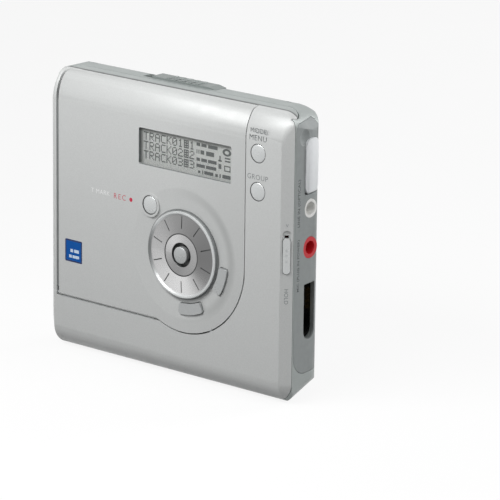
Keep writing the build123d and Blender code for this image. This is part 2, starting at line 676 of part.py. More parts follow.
def jack_socket(z, ring_r):
    """Headphone size socket: square body, coloured nose and a blind bore."""
    body = box(29.4, INNER_RIGHT_X, JACK_Y - 2.9, JACK_Y + 2.9, z - 3.1, z + 3.1)
    body += rod_x(INNER_RIGHT_X - 0.2, 42.75, JACK_Y, z, ring_r)
    return body - rod_x(30.5, 44, JACK_Y, z, JACK_R)


def remote_socket():
    """Deep socket with a round plug hole and an open slot round it."""
    outer = Pos(SLOT_Y, (SLOT_BOTTOM + SLOT_TOP) / 2) * Rectangle(SLOT_W + 1.8, SLOT_TOP - SLOT_BOTTOM + 1.8)
    body = prism_x(outer, 36.4, INNER_RIGHT_X)
    body -= prism_x(slot_outline(0), 37.4, 44)
    body += post_x(29.6, 36.5, SLOT_Y, SLOT_BOTTOM + SLOT_W / 2, 2.6)
    body &= CAVITY
    return body - rod_x(30.4, 44, SLOT_Y, SLOT_BOTTOM + SLOT_W / 2, JACK_R)


def remote_contacts():
    """Four flat contacts on the floor of the slot, above the plug hole."""
    solids = []
    for k in range(4):
        z = 23.2 + 1.6 * k
        solids.append(box(37.4, 37.6, SLOT_Y - 1.2, SLOT_Y + 1.2, z, z + 0.9))
    return Compound(solids)


def drive_chassis():
    """Pressed sheet with side ears for the disc holder and posts for the rods and the screw."""
    back = CHASSIS_Y + CHASSIS_T
    sheet = box(-40.9, 28.9, CHASSIS_Y, back, 4.2, 75.6)
    sheet -= post_y(DISC_X, DISC_Z, 9, 12, 5.6, HEAD_SIDES)
    sheet -= box(-39.7, -15.0, 9, 12, DISC_Z - 4.5, DISC_Z + 4.5)
    for x, z in CASE_BOSSES:
        sheet -= post_y(x, z, 9, 12, 0.9)
    for x in (-40.9, 29.1):
        sheet += box(x, x + 0.6, PIVOT_Y - 1.3, back, 4.3, PIVOT_Z + 1.3)
        sheet -= post_x(x - 1, x + 1.5, PIVOT_Y, PIVOT_Z, PIVOT_R)
    sheet += box(28.3, 29.7, CHASSIS_Y, back, 4.2, 8.0)
    for z in (DISC_Z - ROD_Z, DISC_Z + ROD_Z):
        for x0, x1 in ROD_POSTS:
            sheet += box(x0, x1, CHASSIS_Y + 0.1, ROD_Y + 1.2, z - 1.3, z + 1.3)
            sheet -= post_x(x0 - 1, x1 + 1, ROD_Y, z, ROD_R)
    for x0, x1 in SCREW_POSTS:
        sheet += box(x0, x1, CHASSIS_Y + 0.1, SCREW_Y + 1.2, SCREW_Z - 1.4, SCREW_Z + 1.1)
        sheet -= post_x(x0 - 1, x1 + 1, SCREW_Y, SCREW_Z, SCREW_R + RUNNING)
    return sheet - box(SCREW_GEAR_X - 0.6, SCREW_GEAR_X + 1.8, 9, 12, SCREW_Z - 3.0, SCREW_Z + 6.2)


def holder_pivots():
    pins = [rod_x(x0, x1, PIVOT_Y, PIVOT_Z, PIVOT_R) for x0, x1 in ((-41.2, -39.45), (28.45, 30.0))]
    return Compound(pins)


def disc_holder():
    """Folded sheet that takes the cartridge: a front plate, two sides and turned-in lips."""
    x0, x1 = -39.8, 28.8
    low, high = 4.6, 75.2
    sheet = box(x0, x1, 3.9, 3.9 + HOLDER_T, low + 1.0, high)
    for side_x, lip_x in ((x0, x0), (x1 - HOLDER_T, x1 - 2.2)):
        sheet += box(side_x, side_x + HOLDER_T, 3.9, 9.95, low, high)
        sheet += box(lip_x, lip_x + 2.2, 9.65, 9.95, low + 3, high - 14)
    sheet -= prism_y(plain(-24.0, 13.0, 26.0, 66.0), 3, 5)
    for x in (x0, x1):
        sheet -= post_x(x - 1, x + 1, PIVOT_Y, PIVOT_Z, PIVOT_R + RUNNING)
    return sheet


def spindle_motor():
    """Flat motor under the chassis, with a bush for the turntable's shaft."""
    motor = rod_y(DISC_X, DISC_Z, CHASSIS_Y + CHASSIS_T, 14.4, 7.0)
    motor += post_y(DISC_X, DISC_Z, 14.4, 15.2, 2.2)
    return motor - post_y(DISC_X, DISC_Z, 10, 14.9, 0.75 + RUNNING)


def turntable():
    """Magnetic table that the disc's hub sits on, on its own shaft."""
    table = rod_y(DISC_X, DISC_Z, 9.7, 10.5, 5.0)
    table += post_y(DISC_X, DISC_Z, 9.4, 9.8, 1.8)
    return table + rod_y(DISC_X, DISC_Z, 10.4, 14.8, 0.75)


def pickup_sled():
    """Casting that rides the two rods, with a nut finger on the lead screw."""
    x0, x1 = LENS_X - 5.0, LENS_X + 7.2
    sled = box(x0, x1, 11.5, 15.3, DISC_Z - 8.8, DISC_Z + 8.8)
    sled += box(x0 + 1, x1 - 1, ROD_Y - 1.5, ROD_Y + 1.5, DISC_Z + 8.6, DISC_Z + ROD_Z + 1.6)
    sled += box(x0 + 3, x1 - 3, ROD_Y - 1.4, ROD_Y + 1.4, DISC_Z - ROD_Z - 1.5, DISC_Z - 8.6)
    sled += box(x0 + 4, x0 + 8, ROD_Y - 0.9, SCREW_Y + 0.9, DISC_Z + ROD_Z + 1.5, SCREW_Z - SCREW_R - RUNNING)
    for z in (DISC_Z - ROD_Z, DISC_Z + ROD_Z):
        sled -= post_x(x0 - 1, x1 + 1, ROD_Y, z, ROD_R + RUNNING)
    sled -= box(x0 + 1.6, x1 - 1.6, 13.2, 16, DISC_Z - 6.4, DISC_Z + 6.4)
    return sled + rod_y(LENS_X, DISC_Z, 10.2, 11.6, 3.2)


def pickup_lens():
    """Objective lens: a flat foot and a crowned front."""
    foot = rod_y(LENS_X, DISC_Z, 10.0, 10.2, 1.9)
    return foot + Pos(LENS_X, 9.9, DISC_Z) * Rot(90, 0, 0) * Cone(1.9, 1.2, 0.2)


def guide_rods():
    rods = []
    for z in (DISC_Z - ROD_Z, DISC_Z + ROD_Z):
        rods.append(rod_x(ROD_POSTS[0][0], ROD_POSTS[1][1], ROD_Y, z, ROD_R))
    return Compound(rods)


def lead_screw():
    """Screw that drives the sled, its ends turning in the two posts."""
    return rod_x(SCREW_POSTS[0][0], SCREW_GEAR_X + GEAR_T + 0.2, SCREW_Y, SCREW_Z, SCREW_R)


def gear(x0, x1, y, z, teeth, bore_r, phase):
    """Spur gear square to X, with straight-sided teeth."""
    tip = GEAR_MODULE * (teeth + 1.8) / 2
    root = GEAR_MODULE * (teeth - 2.4) / 2
    pitch = 360.0 / teeth
    points = []
    for k in range(teeth):
        base = phase + k * pitch
        for share, radius in ((-0.30, root), (-0.12, tip), (0.12, tip), (0.30, root)):
            angle = math.radians(base + share * pitch)
            points.append((radius * math.cos(angle), radius * math.sin(angle)))
    face = Pos(y, z) * (make_face(Polyline(*points, close=True)) - Circle(bore_r))
    return prism_x(face, x0, x1)


def screw_gear():
    return gear(SCREW_GEAR_X, SCREW_GEAR_X + GEAR_T, SCREW_Y, SCREW_Z, SCREW_TEETH, SCREW_R, 0.0)


def motor_pinion():
    phase = 180.0 / PINION_TEETH - 90.0
    return gear(SCREW_GEAR_X, SCREW_GEAR_X + GEAR_T, SCREW_Y, MOTOR_Z, PINION_TEETH, 0.4, phase)


def motor_shaft():
    return rod_x(SCREW_GEAR_X - 0.2, -4.0, SCREW_Y, MOTOR_Z, 0.4)


def sled_motor():
    """Small round motor lying along X beside the screw, in a clip on the chassis."""
    motor = rod_x(-4.6, 6.0, SCREW_Y, MOTOR_Z, 2.3)
    motor += box(-4.2, 5.6, CHASSIS_Y + CHASSIS_T, SCREW_Y, MOTOR_Z - 1.9, MOTOR_Z + 1.9)
    motor -= post_x(-6, -3.8, SCREW_Y, MOTOR_Z, 0.4 + RUNNING)
    return motor


def battery_cell():
    x0, x1, y0, y1, z0, z1 = BATTERY
    cell = box(x0, x1 - 1.8, y0, y1, z0, z1)
    cell = fillet(cell.edges().filter_by(Axis.X), 1.2)
    return cell + post_x(x1 - 2.0, x1 - 1.0, (y0 + y1) / 2, (z0 + z1) / 2, 1.8)


def battery_contacts():
    """Leaf contact at the cell's inner end, turned back along the floor of its bay."""
    x1, y0, y1, z0, z1 = BATTERY[1:]
    leaf = box(x1 - 1.0, x1 - 0.6, y0 + 0.6, y1 - 0.2, z0 + 4, z1 - 4)
    leaf += box(x1 - 0.7, x1 + 1.4, y1 - 0.6, y1 - 0.2, z0 + 4, z1 - 4)
    return leaf


def main_board():
    """Circuit board under the drive, with its larger chips."""
    board = box(-40.6, 39.0, 16.2, 17.0, 23.4, 71.0)
    board -= box(36.0, 40.0, 15, 18, 20, 80)
    for x, z in CASE_BOSSES:
        board -= post_y(x, z, 15, 18, 2.3)
    for x, z, half in ((18.0, 40.0, 5.5), (20.0, 62.0, 4.0), (34.0, 34.0, 3.0)):
        board += box(x - half, x + half, 15.1, 16.2, z - half, z + half)
    return board


def chassis_dampers():
    """Rubber sleeves between the chassis and the bosses of the rear cover."""
    solids = []
    for x, z in CASE_BOSSES:
        sleeve = post_y(x, z, CHASSIS_Y + CHASSIS_T, CASE_BOSS_FRONT, BOSS_R)
        solids.append(sleeve - post_y(x, z, CHASSIS_Y, CASE_BOSS_FRONT + 1, 0.7))
    return Compound(solids)


def save(name, shape):
    """Write one piece, with the origin at the middle of the base."""
    export_step(Pos(0, -DEPTH / 2, 0) * shape, os.path.join("parts", name + ".step"))


os.makedirs("parts", exist_ok=True)
save("front_frame", front_frame())
save("rear_cover", rear_cover())
save("battery_door", battery_door())
save("side_panel", side_panel())
save("lid_plate", lid_plate())
save("lid_inner_frame", lid_inner_frame())
save("lid_board", lid_board())
save("lid_screws", screws(LID_SCREWS, LID_BOARD_Y + 0.6, 1.6, 1.1, 0.48, 0.4))
save("lcd_window", lcd_window())
save("lcd_panel", lcd_panel())
save("lid_catch", lid_catch())
save("badge_plate", badge_plate())
save("hinge_pins", hinge_pins())
save("dial_hub", dial_hub())
save("jog_dial", jog_dial())
save("enter_knob", enter_knob())
save("rec_button", rec_button())
save("stop_button", arc_button(*STOP_ARC))
save("cancel_button", arc_button(*CANCEL_ARC))
save("menu_button", round_button(MENU_X, MENU_Z))
save("group_button", round_button(GROUP_X, GROUP_Z))
save("strip_board", strip_board())
save("hold_slider", hold_slider())
save("open_slider", open_slider())
save("port_cap", port_cap())
save("usb_port", usb_port())
save("line_socket", jack_socket(LINE_Z, LINE_RING_R))
save("mic_socket", jack_socket(MIC_Z, MIC_RING_R))
save("remote_socket", remote_socket())
save("remote_contacts", remote_contacts())
save("drive_chassis", drive_chassis())
save("holder_pivots", holder_pivots())
save("disc_holder", disc_holder())
save("spindle_motor", spindle_motor())
save("turntable", turntable())
save("pickup_sled", pickup_sled())
save("pickup_lens", pickup_lens())
save("guide_rods", guide_rods())
save("lead_screw", lead_screw())
save("screw_gear", screw_gear())
save("motor_pinion", motor_pinion())
save("motor_shaft", motor_shaft())
save("sled_motor", sled_motor())
save("battery_cell", battery_cell())
save("battery_contacts", battery_contacts())
save("main_board", main_board())
save("chassis_dampers", chassis_dampers())
save("chassis_screws", screws(CASE_BOSSES, CHASSIS_Y, 16.6, 1.6, 0.65, 0.5))
save("case_screws", case_screws())
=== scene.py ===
import json
import math

import bmesh
import bpy
from bpy.props import FloatProperty, FloatVectorProperty, IntProperty, PointerProperty
from mathutils import Matrix, Vector


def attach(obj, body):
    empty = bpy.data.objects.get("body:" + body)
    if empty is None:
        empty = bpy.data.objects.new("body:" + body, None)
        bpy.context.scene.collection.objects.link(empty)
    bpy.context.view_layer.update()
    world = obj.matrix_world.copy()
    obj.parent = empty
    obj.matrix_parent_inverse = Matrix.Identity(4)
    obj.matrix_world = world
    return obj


bl_info = {
    "name": "Portable disc player",
    "version": (1, 0, 0),
    "blender": (4, 5, 0),
    "location": "View3D > Sidebar > Disc player",
    "description": "Dresses a portable disc player: finishes, display, printed marks and studio",
    "category": "Object",
}

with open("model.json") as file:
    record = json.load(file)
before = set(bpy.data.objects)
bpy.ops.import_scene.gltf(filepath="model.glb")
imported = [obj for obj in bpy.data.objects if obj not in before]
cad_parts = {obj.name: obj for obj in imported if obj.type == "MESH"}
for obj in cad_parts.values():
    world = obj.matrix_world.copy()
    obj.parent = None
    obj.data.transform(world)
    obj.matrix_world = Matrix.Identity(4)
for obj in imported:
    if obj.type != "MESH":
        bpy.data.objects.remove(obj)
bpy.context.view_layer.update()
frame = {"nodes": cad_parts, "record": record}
MM = 0.001

# Places on the player, in millimetres: depths are counted from the front face
FRONT_Y = -9.4
DIAL = (6.89, 35.33)
DIAL_R = 12.04
HUB_R = 5.71
HUB_FACE = -0.7
WELL_R = 3.4
WELL_FLOOR = 0.85
MENU = (32.97, 67.68)
GROUP = (32.98, 57.36)
ROUND_KEY_R = 2.42
RECORD = (-5.05, 47.0)
RECORD_R = 2.5
WINDOW = (-9.33, 23.70, 57.84, 67.98)
DISPLAY_DEPTH = 1.5
BADGE = (-36.7, -30.3, 25.5, 31.9)
HALF_WIDTH = 43.5
SIDE_SLOPE = math.radians(6.0)
SIDE_START = 2.3


def at(x, depth, z):
    """Point on the player, in metres, from millimetres seen from the front."""
    return Vector((x * MM, (FRONT_Y + depth) * MM, z * MM))


# Finishes -------------------------------------------------------------------

# Pitch of a wave texture's rings at a scale of one
WAVE_PITCH = 0.314
# The painted shells' share of metal, and where their paint changes, in millimetres: the painted shade round
# the dial's dish, the painted shade of the parting gap along the front's top, and the cover's paint behind it
SHELL_METAL = 0.06
DISH_SHADE_RADII = (15.2, 19.0)
DISH_SHADE_SIDEWAYS = (-4, 14)
DISH_PAINTED_SHADE = -0.20
PARTING_SHADE_DEPTHS = (5.6, 5.8)
COVER_DEPTHS = (6.4, 7.0)
PARTING_SHADE_GREY = (0.34, 0.35, 0.35)
# The dial's rim: its width, and where it goes from painted shade on its left to a painted highlight round the
# rest
RIM_WIDTHS = (1.05, 0.95)
RIM_SHADE_TO_HIGHLIGHT = (-11.4, -8.6)
RIM_PAINTED_SHADE = (0.46, 0.47, 0.47)
RIM_PAINTED_HIGHLIGHT = (0.80, 0.81, 0.81)


def linear(rgb):
    """Scene colour of a screen colour."""
    return tuple(c / 12.92 if c <= 0.04045 else ((c + 0.055) / 1.055) ** 2.4 for c in rgb[:3]) + (1.0,)


class Finish:
    """One procedural material, built node by node."""

    def __init__(self, name):
        self.material = bpy.data.materials.new(name)
        self.material.use_nodes = True
        self.nodes = self.material.node_tree.nodes
        self.links = self.material.node_tree.links
        self.shader = self.nodes["Principled BSDF"]
        self.coords = self.nodes.new("ShaderNodeTexCoord")

    def mapped(self, centre=(0, 0, 0), turn=(0, 0, 0), scale=(1, 1, 1)):
        mapping = self.nodes.new("ShaderNodeMapping")
        mapping.vector_type = "TEXTURE"
        mapping.inputs["Location"].default_value = centre
        mapping.inputs["Rotation"].default_value = turn
        mapping.inputs["Scale"].default_value = scale
        self.links.new(self.coords.outputs["Object"], mapping.inputs["Vector"])
        return mapping.outputs["Vector"]

    def noise(self, size, detail=3.0, vector=None, rough=0.6):
        """Cloudy pattern with features of about that size, in metres."""
        node = self.nodes.new("ShaderNodeTexNoise")
        node.inputs["Scale"].default_value = 1.0 / size
        node.inputs["Detail"].default_value = detail
        node.inputs["Roughness"].default_value = rough
        self.links.new(vector or self.mapped(), node.inputs["Vector"])
        return node.outputs["Fac"]

    def cells(self, size):
        node = self.nodes.new("ShaderNodeTexVoronoi")
        node.inputs["Scale"].default_value = 1.0 / size
        self.links.new(self.mapped(), node.inputs["Vector"])
        return node.outputs["Distance"]

    def rings(self, pitch, vector):
        """Fine rings about the Y axis through the mapped origin."""
        node = self.nodes.new("ShaderNodeTexWave")
        node.wave_type = "RINGS"
        node.rings_direction = "Y"
        node.inputs["Scale"].default_value = WAVE_PITCH / pitch
        node.inputs["Distortion"].default_value = 0.0
        self.links.new(vector, node.inputs["Vector"])
        return node.outputs["Fac"]

    def sweep(self, centre, steps):
        """Painted highlight and shade: colour by the angle about an axis along Y, as light falls on a turned
        face.
        """
        node = self.nodes.new("ShaderNodeTexGradient")
        node.gradient_type = "RADIAL"
        self.links.new(self.mapped(centre=centre, turn=(math.radians(90), 0, 0)), node.inputs["Vector"])
        ramp = self.nodes.new("ShaderNodeValToRGB")
        ramp.color_ramp.interpolation = "B_SPLINE"
        stops = ramp.color_ramp.elements
        for place, _ in steps[1:-1]:
            stops.new(place)
        for stop, (place, level) in zip(stops, steps):
            stop.position = place
            stop.color = linear((level, level, level))
        self.links.new(node.outputs["Fac"], ramp.inputs["Fac"])
        return ramp.outputs["Color"]

    def radius(self, centre):
        """Distance from an axis along Y."""
        flat = self.nodes.new("ShaderNodeVectorMath")
        flat.operation = "MULTIPLY"
        flat.inputs[1].default_value = (1.0, 0.0, 1.0)
        self.links.new(self.mapped(centre=centre), flat.inputs[0])
        length = self.nodes.new("ShaderNodeVectorMath")
        length.operation = "LENGTH"
        self.links.new(flat.outputs["Vector"], length.inputs[0])
        return length.outputs["Value"]

    def blend(self, share, first, second):
        """Colour that goes from one to another as the share goes from zero to one; both can be nodes."""
        mix = self.nodes.new("ShaderNodeMix")
        mix.data_type = "RGBA"
        self.links.new(share, mix.inputs[0])
        for socket, value in ((mix.inputs[6], first), (mix.inputs[7], second)):
            if isinstance(value, bpy.types.NodeSocket):
                self.links.new(value, socket)
            else:
                socket.default_value = linear(value)
        return mix.outputs[2]

    def place(self, centre=(0, 0, 0)):
        """Sideways, depth and height from a point."""
        parts = self.nodes.new("ShaderNodeSeparateXYZ")
        self.links.new(self.mapped(centre=centre), parts.inputs[0])
        return parts.outputs

    def paint(self, colour):
        self.links.new(colour, self.shader.inputs["Base Color"])

    def spread(self, value, low, high, start=0.3, stop=0.7):
        node = self.nodes.new("ShaderNodeMapRange")
        node.inputs["From Min"].default_value = start
        node.inputs["From Max"].default_value = stop
        node.inputs["To Min"].default_value = low
        node.inputs["To Max"].default_value = high
        self.links.new(value, node.inputs["Value"])
        return node.outputs["Result"]

    def colours(self, value, dark, light, start=0.3, stop=0.7):
        ramp = self.nodes.new("ShaderNodeValToRGB")
        ramp.color_ramp.elements[0].position = start
        ramp.color_ramp.elements[0].color = linear(dark)
        ramp.color_ramp.elements[1].position = stop
        ramp.color_ramp.elements[1].color = linear(light)
        self.links.new(value, ramp.inputs["Fac"])
        self.links.new(ramp.outputs["Color"], self.shader.inputs["Base Color"])
        return ramp.outputs["Color"]

    def rough(self, value, low, high, start=0.3, stop=0.7):
        self.links.new(self.spread(value, low, high, start, stop), self.shader.inputs["Roughness"])

    def bump(self, value, depth, under=None):
        node = self.nodes.new("ShaderNodeBump")
        node.inputs["Strength"].default_value = 1.0
        node.inputs["Distance"].default_value = depth
        self.links.new(value, node.inputs["Height"])
        if under is not None:
            self.links.new(under, node.inputs["Normal"])
        self.links.new(node.outputs["Normal"], self.shader.inputs["Normal"])
        return node.outputs["Normal"]

    def fixed(self, **values):
        for key, value in values.items():
            self.shader.inputs[key.replace("_", " ")].default_value = value


def shade(rgb, amount):
    return tuple(min(1.0, max(0.0, c + amount)) for c in rgb)


def satin_base(name, rgb, metal, low=0.34, high=0.46, fleck=0.016):
    """Bead-blasted silver with a fine sparkle and faint large clouds, and its colour before any shading."""
    finish = Finish(name)
    fine = finish.noise(0.00022, 2.0)
    colour = finish.colours(fine, shade(rgb, -fleck), shade(rgb, fleck), 0.35, 0.65)
    finish.rough(finish.noise(0.004, 4.0), low, high)
    soft = finish.bump(finish.noise(0.0002, 2.0), 0.000003)
    finish.bump(finish.noise(0.0009, 3.0), 0.000002, soft)
    finish.fixed(Metallic=metal)
    return finish, colour


def satin_metal(name, rgb, metal, low=0.34, high=0.46):
    """Bead-blasted finish by itself."""
    return satin_base(name, rgb, metal, low, high)[0].material


def lid_silver(rgb):
    """Silver lid, with painted shade where the dish round the dial turns back up on its right."""
    finish, colour = satin_base("lid_silver", rgb, SHELL_METAL)
    centre = at(DIAL[0], 0, DIAL[1])
    ramp = finish.nodes.new("ShaderNodeValToRGB")
    ramp.color_ramp.interpolation = "B_SPLINE"
    stops = ramp.color_ramp.elements
    stops[0].position, stops[1].position = 0.0, 1.0
    stops.new(0.5)
    for stop, level in zip(stops, (0.0, 1.0, 0.0)):
        stop.color = (level, level, level, 1.0)
    # Painted shade: darker in a ring round the dial, growing towards its right
    inner, outer = DISH_SHADE_RADII
    outward = finish.spread(finish.radius(centre), 0.0, 1.0, inner * MM, outer * MM)
    finish.links.new(outward, ramp.inputs["Fac"])
    share = finish.nodes.new("ShaderNodeMath")
    share.operation = "MULTIPLY"
    finish.links.new(ramp.outputs["Color"], share.inputs[0])
    left, right = DISH_SHADE_SIDEWAYS
    rightward = finish.spread(finish.place(centre)["X"], 0.0, 0.8, left * MM, right * MM)
    finish.links.new(rightward, share.inputs[1])
    finish.paint(finish.blend(share.outputs["Value"], colour, shade(rgb, DISH_PAINTED_SHADE)))
    return finish.material


def frame_silver(rgb, cover):
    """Silver front with painted shade for the parting gap along its top edge and the cover's paint behind it.
    """
    finish, fine = satin_base("frame_silver", rgb, SHELL_METAL)
    depth = finish.place(at(0, 0, 0))["Y"]
    from_cover, at_cover = COVER_DEPTHS
    behind = finish.blend(finish.spread(depth, 0.0, 1.0, from_cover * MM, at_cover * MM), PARTING_SHADE_GREY, cover)
    # Painted shade: a dark grey band across the top where the parting gap lies
    from_line, at_line = PARTING_SHADE_DEPTHS
    finish.paint(finish.blend(finish.spread(depth, 0.0, 1.0, from_line * MM, at_line * MM), fine, behind))
    return finish.material


def moulded(name, rgb, low=0.42, high=0.6, grain=0.00035, depth=0.000006, fleck=0.012, gloss=0.5):
    """Moulded plastic with a fine spark-eroded grain."""
    finish = Finish(name)
    finish.colours(finish.noise(0.0016, 4.0), shade(rgb, -fleck), shade(rgb, fleck))
    finish.rough(finish.noise(0.0024, 4.0), low, high)
    finish.bump(finish.cells(grain), depth)
    finish.fixed(Specular_IOR_Level=gloss)
    return finish.material


# Painted highlight and shade round the turned faces, from nine o'clock by six, three and twelve
DIAL_PAINTED_SHADING = ((0.0, 0.74), (0.09, 0.80), (0.2, 0.88), (0.28, 0.89), (0.335, 0.76), (0.40, 0.50),
              (0.50, 0.44), (0.60, 0.48), (0.70, 0.53), (0.80, 0.58), (0.88, 0.66), (1.0, 0.74))
HUB_PAINTED_SHADING = ((0.0, 0.70), (0.1, 0.59), (0.2, 0.56), (0.3, 0.60),
             (0.5, 0.65), (0.7, 0.70), (0.85, 0.86), (1.0, 0.70))


def spun_metal(name, centre, steps, pitch=0.00013, metal=0.55):
    """Turned face: fine rings about the centre in its roughness, with light and dark fans painted into its
    colour by angle as painted highlight and shade, and a rim with painted shade on its left and a painted
    highlight round the rest.
    """
    finish = Finish(name)
    # Painted highlight and shade: light and dark fans by the angle round the centre
    fans = finish.sweep(centre, steps)
    wide, narrow = RIM_WIDTHS
    rim = finish.spread(finish.radius(centre), 0.0, 1.0, (DIAL_R - wide) * MM, (DIAL_R - narrow) * MM)
    # Painted shade on the rim's left side and a painted highlight round the rest of it
    left, right = RIM_SHADE_TO_HIGHLIGHT
    rightward = finish.spread(finish.place(centre)["X"], 0.0, 1.0, left * MM, right * MM)
    finish.paint(finish.blend(rim, fans, finish.blend(rightward, RIM_PAINTED_SHADE, RIM_PAINTED_HIGHLIGHT)))
    finish.rough(finish.rings(pitch, finish.mapped(centre=centre)), 0.27, 0.33, 0.0, 1.0)
    finish.fixed(Metallic=metal)
    return finish.material


def brushed(name, rgb, along=(1.0, 30.0, 30.0), metal=0.9, low=0.24, high=0.42):
    """Rolled or drawn metal with fine lines along one direction."""
    finish = Finish(name)
    vector = finish.mapped(scale=tuple(1.0 / a for a in along))
    lines = finish.noise(0.006, 5.0, vector, 0.7)
    finish.colours(lines, shade(rgb, -0.05), shade(rgb, 0.04))
    finish.rough(lines, low, high)
    finish.bump(lines, 0.000003)
    finish.fixed(Metallic=metal)
    return finish.material


def circuit(name, rgb):
    """Solder mask over tracks: fine straight bands and a faint mottle."""
    finish = Finish(name)
    brick = finish.nodes.new("ShaderNodeTexBrick")
    brick.inputs["Scale"].default_value = 420.0
    brick.inputs["Mortar Size"].default_value = 0.03
    brick.inputs["Color1"].default_value = linear(rgb)
    brick.inputs["Color2"].default_value = linear(shade(rgb, -0.03))
    brick.inputs["Mortar"].default_value = linear(shade(rgb, 0.12))
    vector = finish.mapped(turn=(math.radians(90), 0, 0))
    finish.links.new(vector, brick.inputs["Vector"])
    finish.links.new(brick.outputs["Color"], finish.shader.inputs["Base Color"])
    finish.rough(finish.noise(0.002, 3.0), 0.28, 0.45)
    finish.bump(brick.outputs["Fac"], 0.00001)
    return finish.material


def thin_clear(name, rgb, cover):
    """Thin clear sheet: light passes straight through it, and its face shines a little."""
    finish = Finish(name)
    finish.colours(finish.noise(0.02, 2.0), shade(rgb, -0.01), rgb)
    finish.rough(finish.noise(0.003, 3.0), 0.06, 0.10)
    finish.fixed(Alpha=cover)
    return finish.material


def clear_glass(name, rgb):
    finish = Finish(name)
    finish.colours(finish.noise(0.02, 2.0), shade(rgb, -0.01), rgb)
    finish.rough(finish.noise(0.003, 3.0), 0.03, 0.07)
    finish.fixed(IOR=1.45, Transmission_Weight=0.92)
    return finish.material


def finish_of(slot, colours):
    """Material of one slot of the part's record."""
    dial = at(DIAL[0], 0, DIAL[1])
    makers = {
        "silver": lambda: satin_metal("satin_silver", colours.silver, metal=SHELL_METAL),
        "cover_grey": lambda: satin_metal("grey_cover_paint", colours.cover, metal=0.25, low=0.38, high=0.5),
        "panel_grey": lambda: moulded("side_panel_grey", colours.panel, gloss=0.2),
        "button_silver": lambda: satin_metal("plated_key", colours.key, metal=0.45, low=0.2, high=0.3),
        "dial_metal": lambda: spun_metal("spun_dial", dial, DIAL_PAINTED_SHADING),
        "dark_plastic": lambda: moulded("black_moulding", (0.075, 0.08, 0.08), low=0.2, high=0.32),
        "inner_grey": lambda: moulded("inner_grey_moulding", (0.34, 0.35, 0.36)),
        "clear": lambda: thin_clear("display_window", (0.90, 0.92, 0.91), 0.10),
        "lcd_grey": lambda: moulded("display_glass", colours.display, low=0.3, high=0.4, depth=0.000001),
        "board_green": lambda: circuit("solder_mask", (0.07, 0.30, 0.17)),
        "badge_blue": lambda: moulded("badge_blue", colours.badge, low=0.3, high=0.4, depth=0.000001,
                                      gloss=0.12),
        "ring_white": lambda: moulded("white_ring", (0.94, 0.94, 0.93), low=0.3, high=0.42, depth=0.000002),
        "ring_red": lambda: moulded("red_ring", (0.80, 0.13, 0.17), low=0.3, high=0.42, depth=0.000002),
        "cap_grey": lambda: moulded("soft_cap", colours.cap, low=0.5, high=0.62, grain=0.00025),
        "steel": lambda: brushed("plain_steel", (0.72, 0.73, 0.74)),
        "sheet_steel": lambda: brushed("rolled_sheet", (0.70, 0.71, 0.72), along=(1.0, 1.0, 26.0)),
        "brass": lambda: brushed("turned_brass", (0.80, 0.66, 0.36)),
        "rubber_black": lambda: moulded("damper_rubber", (0.07, 0.07, 0.07), low=0.6, high=0.75),
        "lens": lambda: clear_glass("coated_lens", (0.60, 0.72, 0.92)),
        "cell_wrap": lambda: moulded("cell_sleeve", (0.20, 0.36, 0.42), low=0.25, high=0.35, depth=0.000002),
        "gold": lambda: brushed("gold_contact", (0.86, 0.70, 0.36)),
    }
    return makers[slot]()


def ink(name, rgb):
    """Printed ink with a slightly uneven edge of gloss."""
    return moulded(name, rgb, low=0.45, high=0.6, depth=0.000001, fleck=0.02)


# Modelling helpers ----------------------------------------------------------


def clean_selection():
    for other in bpy.context.selected_objects:
        other.select_set(False)


def only(piece):
    clean_selection()
    piece.select_set(True)
    bpy.context.view_layer.objects.active = piece


def keep(name, material, body):
    """Name the piece just made, put its place in its mesh and hang it on its body."""
    piece = bpy.context.object
    only(piece)
    bpy.ops.object.transform_apply(location=True, rotation=True, scale=True)
    piece.name = name
    piece.data.name = name
    piece.data.materials.clear()
    piece.data.materials.append(material)
    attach(piece, body)


TUBE_SIDES = 64
PRINT_RISE = 0.012


def tube_y(x, z, depth0, depth1, radius, wall):
    """Thin ring about an axis along Y, between two depths: an open drum that is given a wall."""
    bpy.ops.mesh.primitive_cylinder_add(vertices=TUBE_SIDES, radius=radius * MM, depth=(depth1 - depth0) * MM,
                                        end_fill_type="NOTHING", location=at(x, (depth0 + depth1) / 2, z),
                                        rotation=(math.radians(90), 0, 0))
    piece = bpy.context.object
    solid = piece.modifiers.new("wall", "SOLIDIFY")
    solid.thickness = wall * MM
    solid.offset = -1.0
    bpy.ops.object.modifier_apply(modifier=solid.name)


def words(text, size, matrix, spacing=1.0, bold=0.0):
    """Raised print of a few letters, centred on the matrix."""
    bpy.ops.object.text_add()
    piece = bpy.context.object
    piece.data.body = text
    piece.data.size = size * MM
    piece.data.extrude = PRINT_RISE * MM
    piece.data.offset = bold * MM
    piece.data.space_character = spacing
    piece.data.align_x = "CENTER"
    piece.data.align_y = "CENTER"
    piece.matrix_world = matrix
    only(piece)
    bpy.ops.object.convert(target="MESH")


FRONT_PRINT_DEPTH = -0.005
BEVEL_OUTWARD = (2.3, -2.5, 0.0)
BEVEL_MIDDLE = (HALF_WIDTH - 1.25, 1.15)


def front_print(x, z):
    """Matrix of a print on the front face."""
    return Matrix.Translation(at(x, FRONT_PRINT_DEPTH, z)) @ Matrix.Rotation(math.radians(90), 4, "X")


def side_print(depth, z):
    """Matrix of a print on the right-hand side, reading upwards."""
    outward = Vector((math.cos(SIDE_SLOPE), math.sin(SIDE_SLOPE), 0.0))
    across = Vector((0, 0, 1.0))
    rise = outward.cross(across)
    x = HALF_WIDTH - math.tan(SIDE_SLOPE) * (depth - SIDE_START)
    turn = Matrix((across, rise, outward)).transposed().to_4x4()
    return Matrix.Translation(at(x, depth, z)) @ turn


